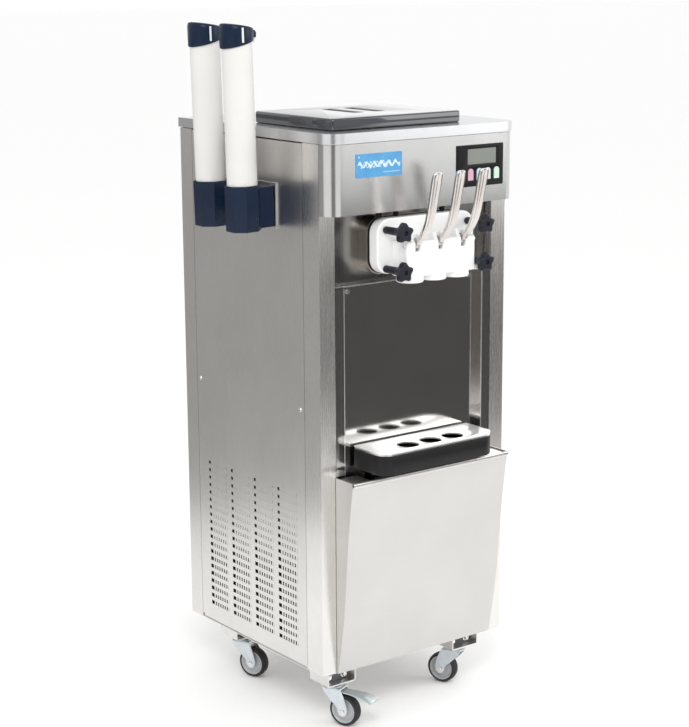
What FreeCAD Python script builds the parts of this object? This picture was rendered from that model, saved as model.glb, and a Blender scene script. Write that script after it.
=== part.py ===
import FreeCAD, Part
import os
import re
import Sketcher

# Floor-standing soft-serve ice cream maker on castors, millimetres.
# The cabinet frame has X to the right, Y to the back from the front of the posts, and Z up from
# the floor. Each piece is shifted by (shift_x, shift_y), which puts the middle of the whole
# machine's footprint, the cone dispensers and levers included, at the origin.

document = FreeCAD.newDocument("soft_serve_machine")

# ---------------------------------------------------------------- driving dimensions

DIMENSIONS = (
    ("shift_x", 60.7, "origin shift, sideways"),
    ("shift_y", -203, "origin shift, front to back"),
    ("width", 540, "cabinet over its side panels"),
    ("depth", 558, "cabinet over posts and rear panel"),
    ("base_level", 140, "underside of the cabinet"),
    ("top_level", 1384, "top of the cover"),
    ("skin", 2, "sheet thickness"),
    ("rail", 25, "leg of a chassis angle"),
    ("angle", 3, "thickness of a chassis angle"),
    ("post_face", 42, "front post, seen from the front"),
    ("post_side", 60, "front post, seen from the side"),
    ("rear_wrap", 50, "rear panel's return round the corner"),
    ("panel_low", 152, "lower edge of a side panel"),
    ("panel_high", 1358, "upper edge of a side panel"),
    ("cover_edge", 22, "folded edge of the top cover"),
    ("overhang", 3, "cover beyond the cabinet"),
    ("hood_reach", 40, "hood in front of the posts"),
    ("hood_low", 1205, "lower edge of the hood"),
    ("recess", 22, "splash panel behind the posts"),
    ("recess_half", 202, "half width of the recess"),
    ("recess_high", 1040, "upper edge of the splash panel"),
    ("shelf_level", 602, "shelf under the drip tray"),
    ("rest_level", 618, "ribs that the drip tray stands on"),
    ("door_level", 608, "upper rim of the lower door"),
    ("door_half", 231, "half width of the lower door"),
    ("door_reach", 66, "lower door's upper edge in front of the posts"),
    ("door_waist", 40, "lower door where its curve turns over"),
    ("waist_level", 387, "height of that turn"),
    ("tray_half", 168, "half width of the drip tray"),
    ("tray_front", -95, "front of the drip tray"),
    ("tray_back", 12, "back of the drip tray"),
    ("tray_level", 664, "upper edge of the drip tray"),
    ("tray_wall", 3, "wall of the drip tray"),
    ("tray_corner", 34, "front corner of the drip tray"),
    ("drip_level", 672, "top of the drip cover"),
    ("drip_y", -56, "holes of the drip cover, front to back"),
    ("drip_hole", 25.5, "radius of a hole in the drip cover"),
    ("pitch", 66, "outlet to outlet"),
    ("outlet_y", -62, "outlets and pistons, front to back"),
    ("outlet_low", 1048, "mouths of the outlets"),
    ("outlet_radius", 31, "outside of an outlet"),
    ("piston_radius", 14, "draw valve piston"),
    ("piston_low", 1078, "lower end of a closed draw valve"),
    ("piston_high", 1154, "upper end of a closed draw valve"),
    ("feed_level", 1092, "ways from the cylinders to the outlets"),
    ("fit", 0.05, "radial running clearance"),
    ("block_half", 99, "half width of the head's front block"),
    ("block_front", -92, "front of the head's block"),
    ("block_low", 1062, "lower edge of the block"),
    ("block_high", 1141, "upper edge of the block"),
    ("plate_half", 140, "half width of the head's plate"),
    ("plate_low", 1066, "lower edge of the plate"),
    ("plate_high", 1190, "upper edge of the plate"),
    ("plate_front", -40, "front of the plate"),
    ("plate_back", -6, "back of the plate"),
    ("plate_corner", 34, "corner of the plate"),
    ("pin_y", -84, "lever pivot, front to back"),
    ("pin_level", 1132, "lever pivot, height"),
    ("pin_radius", 4, "lever pivot"),
    ("lever_gap", 13, "slot for a lever"),
    ("lever_hub", 11, "lever's width at its pivot"),
    ("lever_width", 28, "lever's handle"),
    ("stud_x", 118, "star knobs from the middle"),
    ("stud_low", 1079, "lower star knobs"),
    ("stud_high", 1166, "upper star knobs"),
    ("stud_radius", 4, "stud"),
    ("knob_front", -114, "front of a star knob"),
    ("knob_thick", 18, "star knob's head"),
    ("knob_core", 15, "core of a star knob"),
    ("knob_lobe", 9.5, "lobe of a star knob"),
    ("barrel_level", 1128, "axis of the freezing cylinders"),
    ("barrel_radius", 50, "freezing cylinder, outside"),
    ("barrel_wall", 3, "freezing cylinder, wall"),
    ("barrel_back", 330, "back of the freezing cylinders"),
    ("beater_radius", 45, "beater blade"),
    ("shaft_radius", 8, "beater shaft"),
    ("hopper_middle", -35, "between the two hoppers"),
    ("hopper_width", 160, "one hopper"),
    ("hopper_gap", 16, "hopper to hopper"),
    ("hopper_front", 48, "front of the hoppers"),
    ("hopper_back", 288, "back of the hoppers"),
    ("hopper_low", 1200, "floor of the hoppers"),
    ("lid_half", 184, "half width of the hopper lid"),
    ("lid_front", 18, "front of the hopper lid"),
    ("lid_back", 318, "back of the hopper lid"),
    ("lid_thick", 27, "hopper lid"),
    ("display_x", 156, "middle of the display"),
    ("display_z", 1290, "middle of the display"),
    ("display_width", 138, "display bezel"),
    ("display_height", 95, "display bezel"),
    ("key_pitch", 26, "key to key"),
    ("key_z", 1270, "middle of the keys"),
    ("key_width", 16, "key"),
    ("key_height", 27, "key"),
    ("key_travel", 1, "travel of a key"),
    ("castor_left", -208, "left castors"),
    ("castor_right", 168, "right castors"),
    ("castor_front", 46, "front castors"),
    ("castor_rear", 425, "rear castors"),
    ("castor_high", 105, "top of the castor plates"),
    ("castor_turn", 23, "castors' heading at rest, degrees"),
    ("trail", 34, "wheel axle behind the swivel"),
    ("wheel_radius", 37.5, "castor wheel"),
    ("wheel_width", 26, "castor wheel"),
    ("fork_gap", 30, "between a fork's legs"),
    ("fork_leg", 2.5, "fork's sheet"),
    ("axle_radius", 4, "castor axle"),
    ("kingpin_radius", 6, "castor swivel"),
    ("tube_x", -345, "cone dispensers, sideways"),
    ("tube_front", 180, "front cone dispenser"),
    ("tube_rear", 308, "rear cone dispenser"),
    ("tube_low", 1160, "foot of the cone dispensers"),
    ("tube_radius", 34, "dispenser tube, outside"),
    ("tube_wall", 3, "dispenser tube, wall"),
    ("tube_length", 412, "dispenser tube"),
    ("holder_height", 103, "dispenser holder"),
    ("holder_radius", 37.5, "dispenser holder, across its flats"),
    ("cap_low", 402, "dispenser cap's skirt above the foot"),
    ("cap_high", 458, "dispenser cap's top above the foot"),
    ("cap_radius", 37.5, "dispenser cap"),
    ("hinge_x", 42, "cap hinge from the tube's axis"),
    ("hinge_z", 426, "cap hinge above the foot"),
    ("lean", 1.5, "dispensers lean outwards, degrees"),
    ("can_radius", 62, "compressor"),
    ("condenser_x", -226, "outer face of the condenser"),
    ("fan_radius", 110, "condenser fan"),
    ("gland_x", -150, "cable gland"),
    ("gland_z", 230, "cable gland"),
    ("cord_radius", 5, "bore of the cable gland"),
    ("vent_pitch_y", 97.3, "vent column to column"),
    ("vent_pitch_z", 19, "vent row to row"),
    ("vent_low", 187, "lowest vent row"),
    ("vent_front", 95.5, "front end of the vents"),
    ("vent_length", 77, "one vent slot"),
    ("vent_height", 10, "one vent slot"),
)

sheet = document.addObject("Spreadsheet::Sheet", "Dims")
for row, (alias, amount, meaning) in enumerate(DIMENSIONS, start=1):
    sheet.set(f"A{row}", alias)
    sheet.set(f"B{row}", str(amount))
    sheet.set(f"C{row}", meaning)
    sheet.setAlias(f"B{row}", alias)
document.recompute()
ALIASES = {alias for alias, _, _ in DIMENSIONS}
Vector = FreeCAD.Vector


def formula(text):
    """An expression in which each driving dimension is read from the sheet."""
    return re.sub(r"[a-z_]+", lambda word: "Dims." + word[0] if word[0] in ALIASES else word[0], str(text))


def number(text):
    """The present value of an expression."""
    return float(sheet.evalExpression(formula(text)))


def bind(item, **properties):
    """Bind properties to expressions; a double underscore stands for a dot."""
    for key, text in properties.items():
        item.setExpression(key.replace("__", "."), formula(text))


def locate(item, x=0, y=0, z=0):
    bind(item, Placement__Base__x=x, Placement__Base__y=y, Placement__Base__z=z)


# ---------------------------------------------------------------- primitives and booleans

AXES = {"X": (Vector(0, 1, 0), 90), "Y": (Vector(1, 0, 0), -90), "Z": (Vector(0, 0, 1), 0)}


def block(name, x0, x1, y0, y1, z0, z1):
    """A box between two corners."""
    item = document.addObject("Part::Box", name)
    bind(item, Length=f"({x1}) - ({x0})", Width=f"({y1}) - ({y0})", Height=f"({z1}) - ({z0})")
    locate(item, x0, y0, z0)
    return item


def rod(name, radius, length, x, y, z, axis="Z"):
    """A cylinder from (x, y, z) along an axis."""
    item = document.addObject("Part::Cylinder", name)
    bind(item, Radius=radius, Height=length)
    item.Placement.Rotation = FreeCAD.Rotation(*AXES[axis])
    locate(item, x, y, z)
    return item


def join(name, *items):
    item = document.addObject("Part::MultiFuse", name)
    item.Shapes = list(items)
    return item


def group(name, *items):
    """Separate solids of one kind, kept apart in one node."""
    item = document.addObject("Part::Compound", name)
    item.Links = list(items)
    return item


def cut(name, base, *tools):
    item = document.addObject("Part::Cut", name)
    item.Base = base
    item.Tool = tools[0] if len(tools) == 1 else join(name + "_tools", *tools)
    return item


def shell(name, x0, x1, y0, y1, z0, z1, walls):
    """A box of sheet with the walls named in a string such as '-X +X -Z' closed."""
    side = {key: ("skin" if key in walls.split() else "-1") for key in ("-X", "+X", "-Y", "+Y", "-Z", "+Z")}
    outer = block(name + "_outer", x0, x1, y0, y1, z0, z1)
    inner = block(name + "_inner", f"{x0} + {side['-X']}", f"{x1} - {side['+X']}", f"{y0} + {side['-Y']}",
                  f"{y1} - {side['+Y']}", f"{z0} + {side['-Z']}", f"{z1} - {side['+Z']}")
    return cut(name, outer, inner)


# ---------------------------------------------------------------- sketched bodies

QUARTER = 2 ** 0.5 - 1  # the bulge of a quarter round


def new_body(name):
    return document.addObject("PartDesign::Body", name)


def new_sketch(body, role, name, offset=0):
    """A sketch on one of the body's own origin planes, moved along the plane's normal."""
    sketch = body.newObject("Sketcher::SketchObject", name)
    plane = [item for item in body.Origin.OriginFeatures if item.Role == role][0]
    sketch.AttachmentSupport = [(plane, "")]
    sketch.MapMode = "FlatFace"
    sketch.setExpression(".AttachmentOffset.Base.z", formula(offset))
    return sketch


def pin_point(sketch, geometry, end, x, y):
    """Fix one end of a line or arc at (x, y), each bound to the sheet."""
    for kind, text in (("DistanceX", x), ("DistanceY", y)):
        value = number(text)
        index = sketch.addConstraint(Sketcher.Constraint(kind, -1, 1, geometry, end, value))
        sketch.setExpression(f"Constraints[{index}]", formula(text))


def outline(sketch, corners):
    """A closed outline through corners (x, y); (x, y, bulge) arcs to that corner.

    The bulge is an arc's height over half its chord, positive to the left of the way along.
    """
    points = [Vector(number(corner[0]), number(corner[1]), 0) for corner in corners]
    first = sketch.GeometryCount
    for index, corner in enumerate(corners):
        start, end = points[index - 1], points[index]
        if len(corner) == 2:
            sketch.addGeometry(Part.LineSegment(start, end))
            continue
        half = (end - start) * 0.5
        middle = start + half + Vector(-half.y, half.x, 0) * corner[2]
        sketch.addGeometry(Part.Arc(start, middle, end) if corner[2] < 0 else Part.Arc(end, middle, start))
    count = len(corners)
    for index, corner in enumerate(corners):
        edge = first + index
        start = points[index - 1]
        geometry = sketch.Geometry[edge]
        begins = (geometry.StartPoint - start).Length < 1e-6
        sketch_end = 2 if begins else 1
        pin_point(sketch, edge, sketch_end, corner[0], corner[1])
        previous = first + (index - 1) % count
        before = sketch.Geometry[previous]
        previous_end = 2 if (before.EndPoint - start).Length < 1e-6 else 1
        sketch.addConstraint(Sketcher.Constraint("Coincident", edge, 3 - sketch_end, previous, previous_end))
        if len(corner) == 3:
            sketch.addConstraint(Sketcher.Constraint("Radius", edge, geometry.Radius))


def circle(sketch, x, y, radius):
    index = sketch.addGeometry(Part.Circle(Vector(number(x), number(y), 0), Vector(0, 0, 1), number(radius)))
    pin_point(sketch, index, 3, x, y)
    size = sketch.addConstraint(Sketcher.Constraint("Radius", index, number(radius)))
    sketch.setExpression(f"Constraints[{size}]", formula(radius))


def pad(body, sketch, length, both_ways=False):
    item = body.newObject("PartDesign::Pad", sketch.Name + "_pad")
    item.Profile = sketch
    item.SideType = "Symmetric" if both_ways else "One side"
    bind(item, Length=length)
    return item


def pocket(body, sketch, length, both_ways=False, turned=False):
    """Cut a sketch's outline out of the body, and make sure that it did cut."""
    document.recompute()
    before = body.Shape.Volume
    item = body.newObject("PartDesign::Pocket", sketch.Name + "_pocket")
    item.Profile = sketch
    item.SideType = "Symmetric" if both_ways else "One side"
    item.Reversed = turned
    bind(item, Length=length)
    document.recompute()
    if body.Shape.Volume > before - 1:
        raise RuntimeError(f"{item.Name} removes nothing")
    return item


def rounded_plate(name, half, low, high, corner, front, back):
    """An upright plate with round corners between two planes of Y."""
    body = new_body(name)
    sketch = new_sketch(body, "XZ_Plane", name + "_outline")
    left, right = f"-({half}) + ({corner})", f"({half}) - ({corner})"
    lower, upper = f"({low}) + ({corner})", f"({high}) - ({corner})"
    outline(sketch, ((left, low, -QUARTER), (right, low), (half, lower, -QUARTER), (half, upper),
                     (right, high, -QUARTER), (left, high), (f"-({half})", upper, -QUARTER),
                     (f"-({half})", lower)))
    pad(body, sketch, f"({back}) - ({front})")
    locate(body, 0, back, 0)
    return body


# ---------------------------------------------------------------- nodes

NODES = []


def node(item, label, x=0, y=0, z=0):
    """Name a finished sub-part and place it in the machine's frame."""
    item.Label = label
    locate(item, f"shift_x + {x}", f"shift_y + {y}", z)
    NODES.append(item)
    return item


# ---------------------------------------------------------------- cabinet

def chassis():
    """A frame of steel angle, which is what is left of its bars outside the box within them."""
    left, right = "-width / 2 + 16", "width / 2 - 16"
    front, back = "30", "depth - skin - 4"
    low, high = "base_level + skin", "top_level - cover_edge - 4"
    parts = []
    for side, x0 in (("left", left), ("right", f"{right} - rail")):
        for end, y0 in (("front", front), ("rear", f"{back} - rail")):
            parts.append(block(f"upright_{side}_{end}", x0, f"{x0} + rail", y0, f"{y0} + rail", low, high))
        for level, z0 in (("low", low), ("middle", "shelf_level - rail - 4"), ("high", f"{high} - rail")):
            parts.append(block(f"side_rail_{side}_{level}", x0, f"{x0} + rail", front, back, z0, f"{z0} + rail"))
    for level, z0 in (("low", low), ("middle", "shelf_level - rail - 4")):
        for end, y0 in (("front", front), ("rear", f"{back} - rail")):
            parts.append(block(f"cross_rail_{level}_{end}", left, right, y0, f"{y0} + rail", z0, f"{z0} + rail"))
    inside = block("chassis_inside", f"{left} + angle", f"{right} - angle", f"{front} + angle", f"{back} - angle",
                   f"{low} + angle", f"{high} - angle")
    node(cut("chassis", join("chassis_bars", *parts), inside), "chassis_frame")


def castor_spots():
    """Each castor's name, swivel axis and heading at rest in degrees."""
    for end, y in (("front", "castor_front"), ("rear", "castor_rear")):
        yield f"{end}_left", "castor_left", y, "castor_turn"
        yield f"{end}_right", "castor_right", y, "castor_turn + 180"


def castor_mounts():
    """A boxed riser under each corner of the cabinet, with the castor's plate and race below it."""
    solids = []
    for name, x, y, _ in castor_spots():
        solids.append(cut(f"riser_{name}",
                          block(f"riser_{name}_outer", f"{x} - 40", f"{x} + 40", f"{y} - 36", f"{y} + 36",
                                "castor_high", "base_level"),
                          block(f"riser_{name}_inner", f"{x} - 37", f"{x} + 37", f"{y} - 33", f"{y} + 33",
                                "castor_high + 3", "base_level + 1")))
        flange = block(f"plate_{name}_flange", f"{x} - 34", f"{x} + 34", f"{y} - 32", f"{y} + 32",
                       "castor_high - 3", "castor_high")
        race = rod(f"plate_{name}_race", 24, 6, x, y, "castor_high - 9")
        bore = rod(f"plate_{name}_bore", "kingpin_radius + fit", 13, x, y, "castor_high - 10")
        solids.append(cut(f"plate_{name}", join(f"plate_{name}_body", flange, race), bore))
    node(group("castor_mount_group", *solids), "castor_mounts")


def vent_slots(name, x0, x1):
    """Four columns of twenty slots through a panel that lies between x0 and x1."""
    slot = block(name + "_slot", x0, x1, "vent_front", "vent_front + vent_length", "vent_low",
                 "vent_low + vent_height")
    document.recompute()
    slots = []
    for across in range(4):
        for up in range(20):
            piece = slot.Shape.copy()
            piece.translate(Vector(0, across * number("vent_pitch_y"), up * number("vent_pitch_z")))
            slots.append(piece)
    grid = document.addObject("Part::Feature", name + "_slots")
    grid.Shape = Part.makeCompound(slots)
    return grid


def side_panels():
    """A plain sheet on each side, folded in at its edges, with louvred vents low at the front."""
    for side in ("left", "right"):
        x0, x1 = ("-width / 2", "-width / 2 + 14") if side == "left" else ("width / 2 - 14", "width / 2")
        walls = "-X -Y +Y -Z +Z" if side == "left" else "+X -Y +Y -Z +Z"
        sheet_body = shell(f"side_{side}", x0, x1, "post_side + 1", "depth - rear_wrap - 1", "panel_low",
                           "panel_high", walls)
        outside = "-width / 2" if side == "left" else "width / 2 - skin"
        slots = vent_slots(f"side_{side}", f"{outside} - 1", f"{outside} + skin + 1")
        node(cut(f"side_{side}_panel", sheet_body, slots), f"{side}_side_panel")


def rear_and_base():
    """The rear panel wraps round both rear corners; the base pan closes the cabinet below."""
    wrap = shell("rear_wrapper", "-width / 2", "width / 2", "depth - rear_wrap", "depth", "base_level + skin",
                 "top_level - cover_edge - 2", "-X +X +Y")
    vents = [block(f"rear_vent_{row}", -150, 150, "depth - skin - 1", "depth + 1", f"{row} * 30 + 520",
                   f"{row} * 30 + 528") for row in range(8)]
    hole = rod("rear_gland_hole", 10.2, 20, "gland_x", "depth - 12", "gland_z", "Y")
    node(cut("rear_sheet", wrap, hole, *vents), "rear_panel")
    gland = join("gland_body", rod("gland_barrel", 10, 24, "gland_x", "depth - 12", "gland_z", "Y"),
                 rod("gland_collar", 14, 7, "gland_x", "depth", "gland_z", "Y"))
    bore = rod("gland_bore", "cord_radius + 0.5", 40, "gland_x", "depth - 16", "gland_z", "Y")
    node(cut("gland", gland, bore), "cable_gland")
    floor = block("pan_floor", "-width / 2 + 1", "width / 2 - 1", 1, "depth - 1", "base_level", "base_level + skin")
    walls = shell("pan_walls", "-width / 2 + skin + 1", "width / 2 - skin - 1", "recess + skin",
                  "depth - skin - 1", "base_level", "base_level + 12", "-X +X -Y +Y -Z")
    node(join("pan", floor, walls), "base_pan")


def front_posts():
    """A folded post at each front corner, with a return that makes the recess's side."""
    posts = []
    for side in (-1, 1):
        body = new_body(f"post_{'left' if side < 0 else 'right'}")
        sketch = new_sketch(body, "XY_Plane", body.Name + "_section", "base_level + skin")
        out, face = f"{side} * width / 2", f"{side} * (width / 2 - post_face)"
        outline(sketch, ((out, "post_side"), (out, 0), (face, 0), (face, "recess"),
                         (f"{face} + {side} * skin", "recess"), (f"{face} + {side} * skin", "skin"),
                         (f"{out} - {side} * skin", "skin"), (f"{out} - {side} * skin", "post_side")))
        pad(body, sketch, "top_level - cover_edge - base_level - skin - 2")
        posts.append(body)
    node(group("post_group", *posts), "front_posts")


def front_panels():
    """The panel behind the dispensing head, and the splash panel that runs forward as a shelf."""
    flat = block("upper_sheet", "-width / 2 + post_face + 1", "width / 2 - post_face - 1", "recess + skin",
                 "recess + 2 * skin", "recess_high", "hood_low + 60")
    lip = block("upper_lip", "-width / 2 + post_face + 1", "width / 2 - post_face - 1", 4,
                "recess + skin", "recess_high", "recess_high + skin")
    holes = [rod(f"upper_hole_{side}", "barrel_radius + 1", 40, f"{side} * pitch", 0, "barrel_level", "Y")
             for side in (-1, 1)]
    node(cut("upper_panel", join("upper_body", flat, lip), *holes), "upper_panel")

    half, edge = "recess_half", "width / 2 - post_face - 1"
    back = block("splash_back", f"-{half}", half, "recess - skin", "recess", "shelf_level",
                 "recess_high - 1")
    parts = [back]
    for name, x0, x1 in (("left", f"-({edge})", f"-{half}"), ("right", half, edge)):
        parts.append(block(f"splash_front_{name}", x0, x1, 0, "skin", "door_level + 2", "recess_high - 1"))
        inner = f"{x1} - skin" if name == "left" else x0
        parts.append(block(f"splash_side_{name}", inner, f"{inner} + skin", 0, "recess", "shelf_level",
                           "recess_high - 1"))
    parts.append(block("splash_shelf", "-door_half + 6", "door_half - 6", "-door_reach + 8", "recess",
                       "shelf_level - skin", "shelf_level"))
    for side in (-1, 1):
        parts.append(block(f"splash_rib_{side + 1}", f"{side} * 110 - 12", f"{side} * 110 + 12",
                           "-door_reach + 12", "tray_back - 4", "shelf_level", "rest_level"))
    node(join("splash", *parts), "splash_panel")


def hood_and_cover():
    """The hood's front corners are quarter rounds; the cover follows the same outline."""
    half, reach = "width / 2", "hood_reach"
    body = new_body("hood")
    outer = new_sketch(body, "XY_Plane", "hood_outline", "hood_low")
    outline(outer, ((f"-{half}", -1), (f"-{half} + {reach} - 1", f"-{reach}", -QUARTER),
                    (f"{half} - {reach} + 1", f"-{reach}"), (half, -1, -QUARTER)))
    pad(body, outer, "top_level - cover_edge - hood_low - 2")
    inner = new_sketch(body, "XY_Plane", "hood_hollow", "hood_low + skin")
    outline(inner, ((f"-{half} + skin", 5), (f"-{half} + skin", -1),
                    (f"-{half} + {reach} - 1", f"-{reach} + skin", -QUARTER),
                    (f"{half} - {reach} + 1", f"-{reach} + skin"), (f"{half} - skin", -1, -QUARTER),
                    (f"{half} - skin", 5)))
    pocket(body, inner, 400, turned=True)
    mouth = new_sketch(body, "XY_Plane", "hood_mouth", "hood_low - 1")
    outline(mouth, ((f"-{half} + 60", 5), (f"-{half} + 60", f"-{reach} + 8"), (f"{half} - 60", f"-{reach} + 8"),
                    (f"{half} - 60", 5)))
    pocket(body, mouth, "skin + 2", turned=True)
    window = block("hood_window", "display_x - display_width / 2 + 6", "display_x + display_width / 2 - 6",
                   f"-{reach} - 1", f"-{reach} + skin + 1", "display_z - display_height / 2 + 6",
                   "display_z + display_height / 2 - 6")
    node(cut("hood_sheet", body, window), "front_hood")

    cover = new_body("cover")
    rim = new_sketch(cover, "XY_Plane", "cover_outline", "top_level - cover_edge")
    wide = "(width / 2 + overhang)"
    outline(rim, ((f"-{wide}", "depth + overhang"), (f"-{wide}", -1),
                  (f"-{wide} + {reach} + 2", f"-{reach} - overhang", -QUARTER),
                  (f"{wide} - {reach} - 2", f"-{reach} - overhang"), (wide, -1, -QUARTER),
                  (wide, "depth + overhang")))
    pad(cover, rim, "cover_edge")
    hollow = new_sketch(cover, "XY_Plane", "cover_hollow", "top_level - skin")
    outline(hollow, ((f"-{wide} + skin", "depth + overhang - skin"), (f"-{wide} + skin", -1),
                     (f"-{wide} + {reach} + 2", f"-{reach} - overhang + skin", -QUARTER),
                     (f"{wide} - {reach} - 2", f"-{reach} - overhang + skin"), (f"{wide} - skin", -1, -QUARTER),
                     (f"{wide} - skin", "depth + overhang - skin")))
    pocket(cover, hollow, "cover_edge + 5")
    holes = [block(f"cover_hole_{index}", x0, x1, "hopper_front", "hopper_back", "top_level - 60", "top_level + 1")
             for index, (x0, x1) in enumerate(hopper_spans())]
    node(cut("cover_sheet", cover, *holes), "top_cover")


def lower_door():
    """A bowed front below the shelf: flared to a rim at the top and curved in at the foot."""
    body = new_body("door")
    foot, rim = "base_level", "door_level"
    outer = new_sketch(body, "YZ_Plane", "door_section")
    outline(outer, ((-1, foot), (-1, rim), ("-door_reach", rim), ("-door_waist", "waist_level", 0.0244),
                    (-5, foot, -0.0355)))
    pad(body, outer, "2 * door_half - 2", both_ways=True)
    inner = new_sketch(body, "YZ_Plane", "door_hollow")
    outline(inner, ((0, f"{foot} - 1"), (0, f"{rim} + 1"), ("-door_reach + skin", f"{rim} + 1"),
                    ("-door_waist + skin", "waist_level", 0.0244), ("-5 + skin", f"{foot} - 1", -0.0355)))
    pocket(body, inner, "2 * door_half - 2 - 2 * skin", both_ways=True)
    rolled = rod("door_rim", 3.5, "2 * door_half - 2", "-door_half + 1", "-door_reach", f"{rim} - 3.5", "X")
    node(join("door_sheet", body, rolled), "lower_door")


# ---------------------------------------------------------------- inside the cabinet

def hopper_spans():
    """The two hoppers' left and right sides."""
    half = "hopper_gap / 2"
    return ((f"hopper_middle - {half} - hopper_width", f"hopper_middle - {half}"),
            (f"hopper_middle + {half}", f"hopper_middle + {half} + hopper_width"))


def mix_side():
    """Hoppers above, freezing cylinders below them, and their oval front flange."""
    hoppers, barrels = [], []
    for index, (x0, x1) in enumerate(hopper_spans()):
        x = f"{2 * index - 1} * pitch"
        tube = rod(f"barrel_{index}_tube", "barrel_radius", "barrel_back", x, 0, "barrel_level", "Y")
        hollow = rod(f"barrel_{index}_hollow", "barrel_radius - barrel_wall", "barrel_back - 4", x, -1,
                     "barrel_level", "Y")
        axle = rod(f"barrel_{index}_axle", "shaft_radius + fit", 40, x, "barrel_back - 20", "barrel_level", "Y")
        inlet = rod(f"barrel_{index}_inlet", 8, 20, x, "hopper_front + 40", "barrel_level + barrel_radius - 15")
        barrels.append(cut(f"barrel_{index}", tube, hollow, axle, inlet))
        tub = shell(f"hopper_{index}", f"{x0} + 0.5", f"{x1} - 0.5", "hopper_front + 0.5", "hopper_back - 0.5",
                    "hopper_low", "top_level", "-X +X -Y +Y -Z")
        feed = rod(f"hopper_{index}_feed", 10, "hopper_low - barrel_level - barrel_radius + 6", x,
                   "hopper_front + 40", "barrel_level + barrel_radius - 5")
        way = rod(f"hopper_{index}_way", 8, 60, x, "hopper_front + 40", "barrel_level + barrel_radius - 10")
        hoppers.append(cut(f"hopper_{index}_tub", join(f"hopper_{index}_body", tub, feed), way, tube))
    node(group("hopper_group", *hoppers), "mix_hoppers")
    node(group("barrel_group", *barrels), "freezing_cylinders")

    oval = rounded_plate("flange", "plate_half + 4", "plate_low - 4", "plate_high + 2", "plate_corner + 3",
                         "plate_back", "recess + skin")
    rings = [rod(f"flange_bore_{side + 1}", "barrel_radius + 0.2", 60, f"{side} * pitch", -20,
                 "barrel_level", "Y") for side in (-1, 1)]
    seats = [rod(f"flange_seat_{side + 1}_{level}", "stud_radius", 60, f"{side} * stud_x", -20, level, "Y")
             for side in (-1, 1) for level in ("stud_low", "stud_high")]
    node(cut("flange_ring", oval, *rings, *seats), "cylinder_flange")


def beaters():
    for index, name in enumerate(("left", "right")):
        x = f"{2 * index - 1} * pitch"
        shaft = rod(f"beater_{name}_shaft", "shaft_radius", "barrel_back + 3", x, 10, "barrel_level", "Y")
        blades = []
        for turn in range(2):
            wide, thin = ("beater_radius", "3") if turn == 0 else ("3", "beater_radius")
            blade = block(f"beater_{name}_blade_{turn}", f"{x} - {wide}", f"{x} + {wide}",
                          f"{14 + turn * 150}", f"{160 + turn * 150}", f"barrel_level - {thin}",
                          f"barrel_level + {thin}")
            blades.append(blade)
        node(join(f"beater_{name}_all", shaft, *blades), f"beater_{name}")


def motors():
    """A gear motor on the back of each cylinder, with the socket that takes the beater's shaft."""
    units = []
    for index in range(2):
        x = f"{2 * index - 1} * pitch"
        case = block(f"gearbox_{index}", f"{x} - 45", f"{x} + 45", "barrel_back + 4", "barrel_back + 64",
                     "barrel_level - 50", "barrel_level + 50")
        can = rod(f"motor_{index}", 45, 110, x, "barrel_back + 64", "barrel_level", "Y")
        socket = rod(f"motor_socket_{index}", "shaft_radius + fit", 30, x, "barrel_back", "barrel_level", "Y")
        units.append(cut(f"gear_motor_{index}", join(f"gear_motor_{index}_body", case, can), socket))
    node(group("motor_group", *units), "gear_motors")


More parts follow.
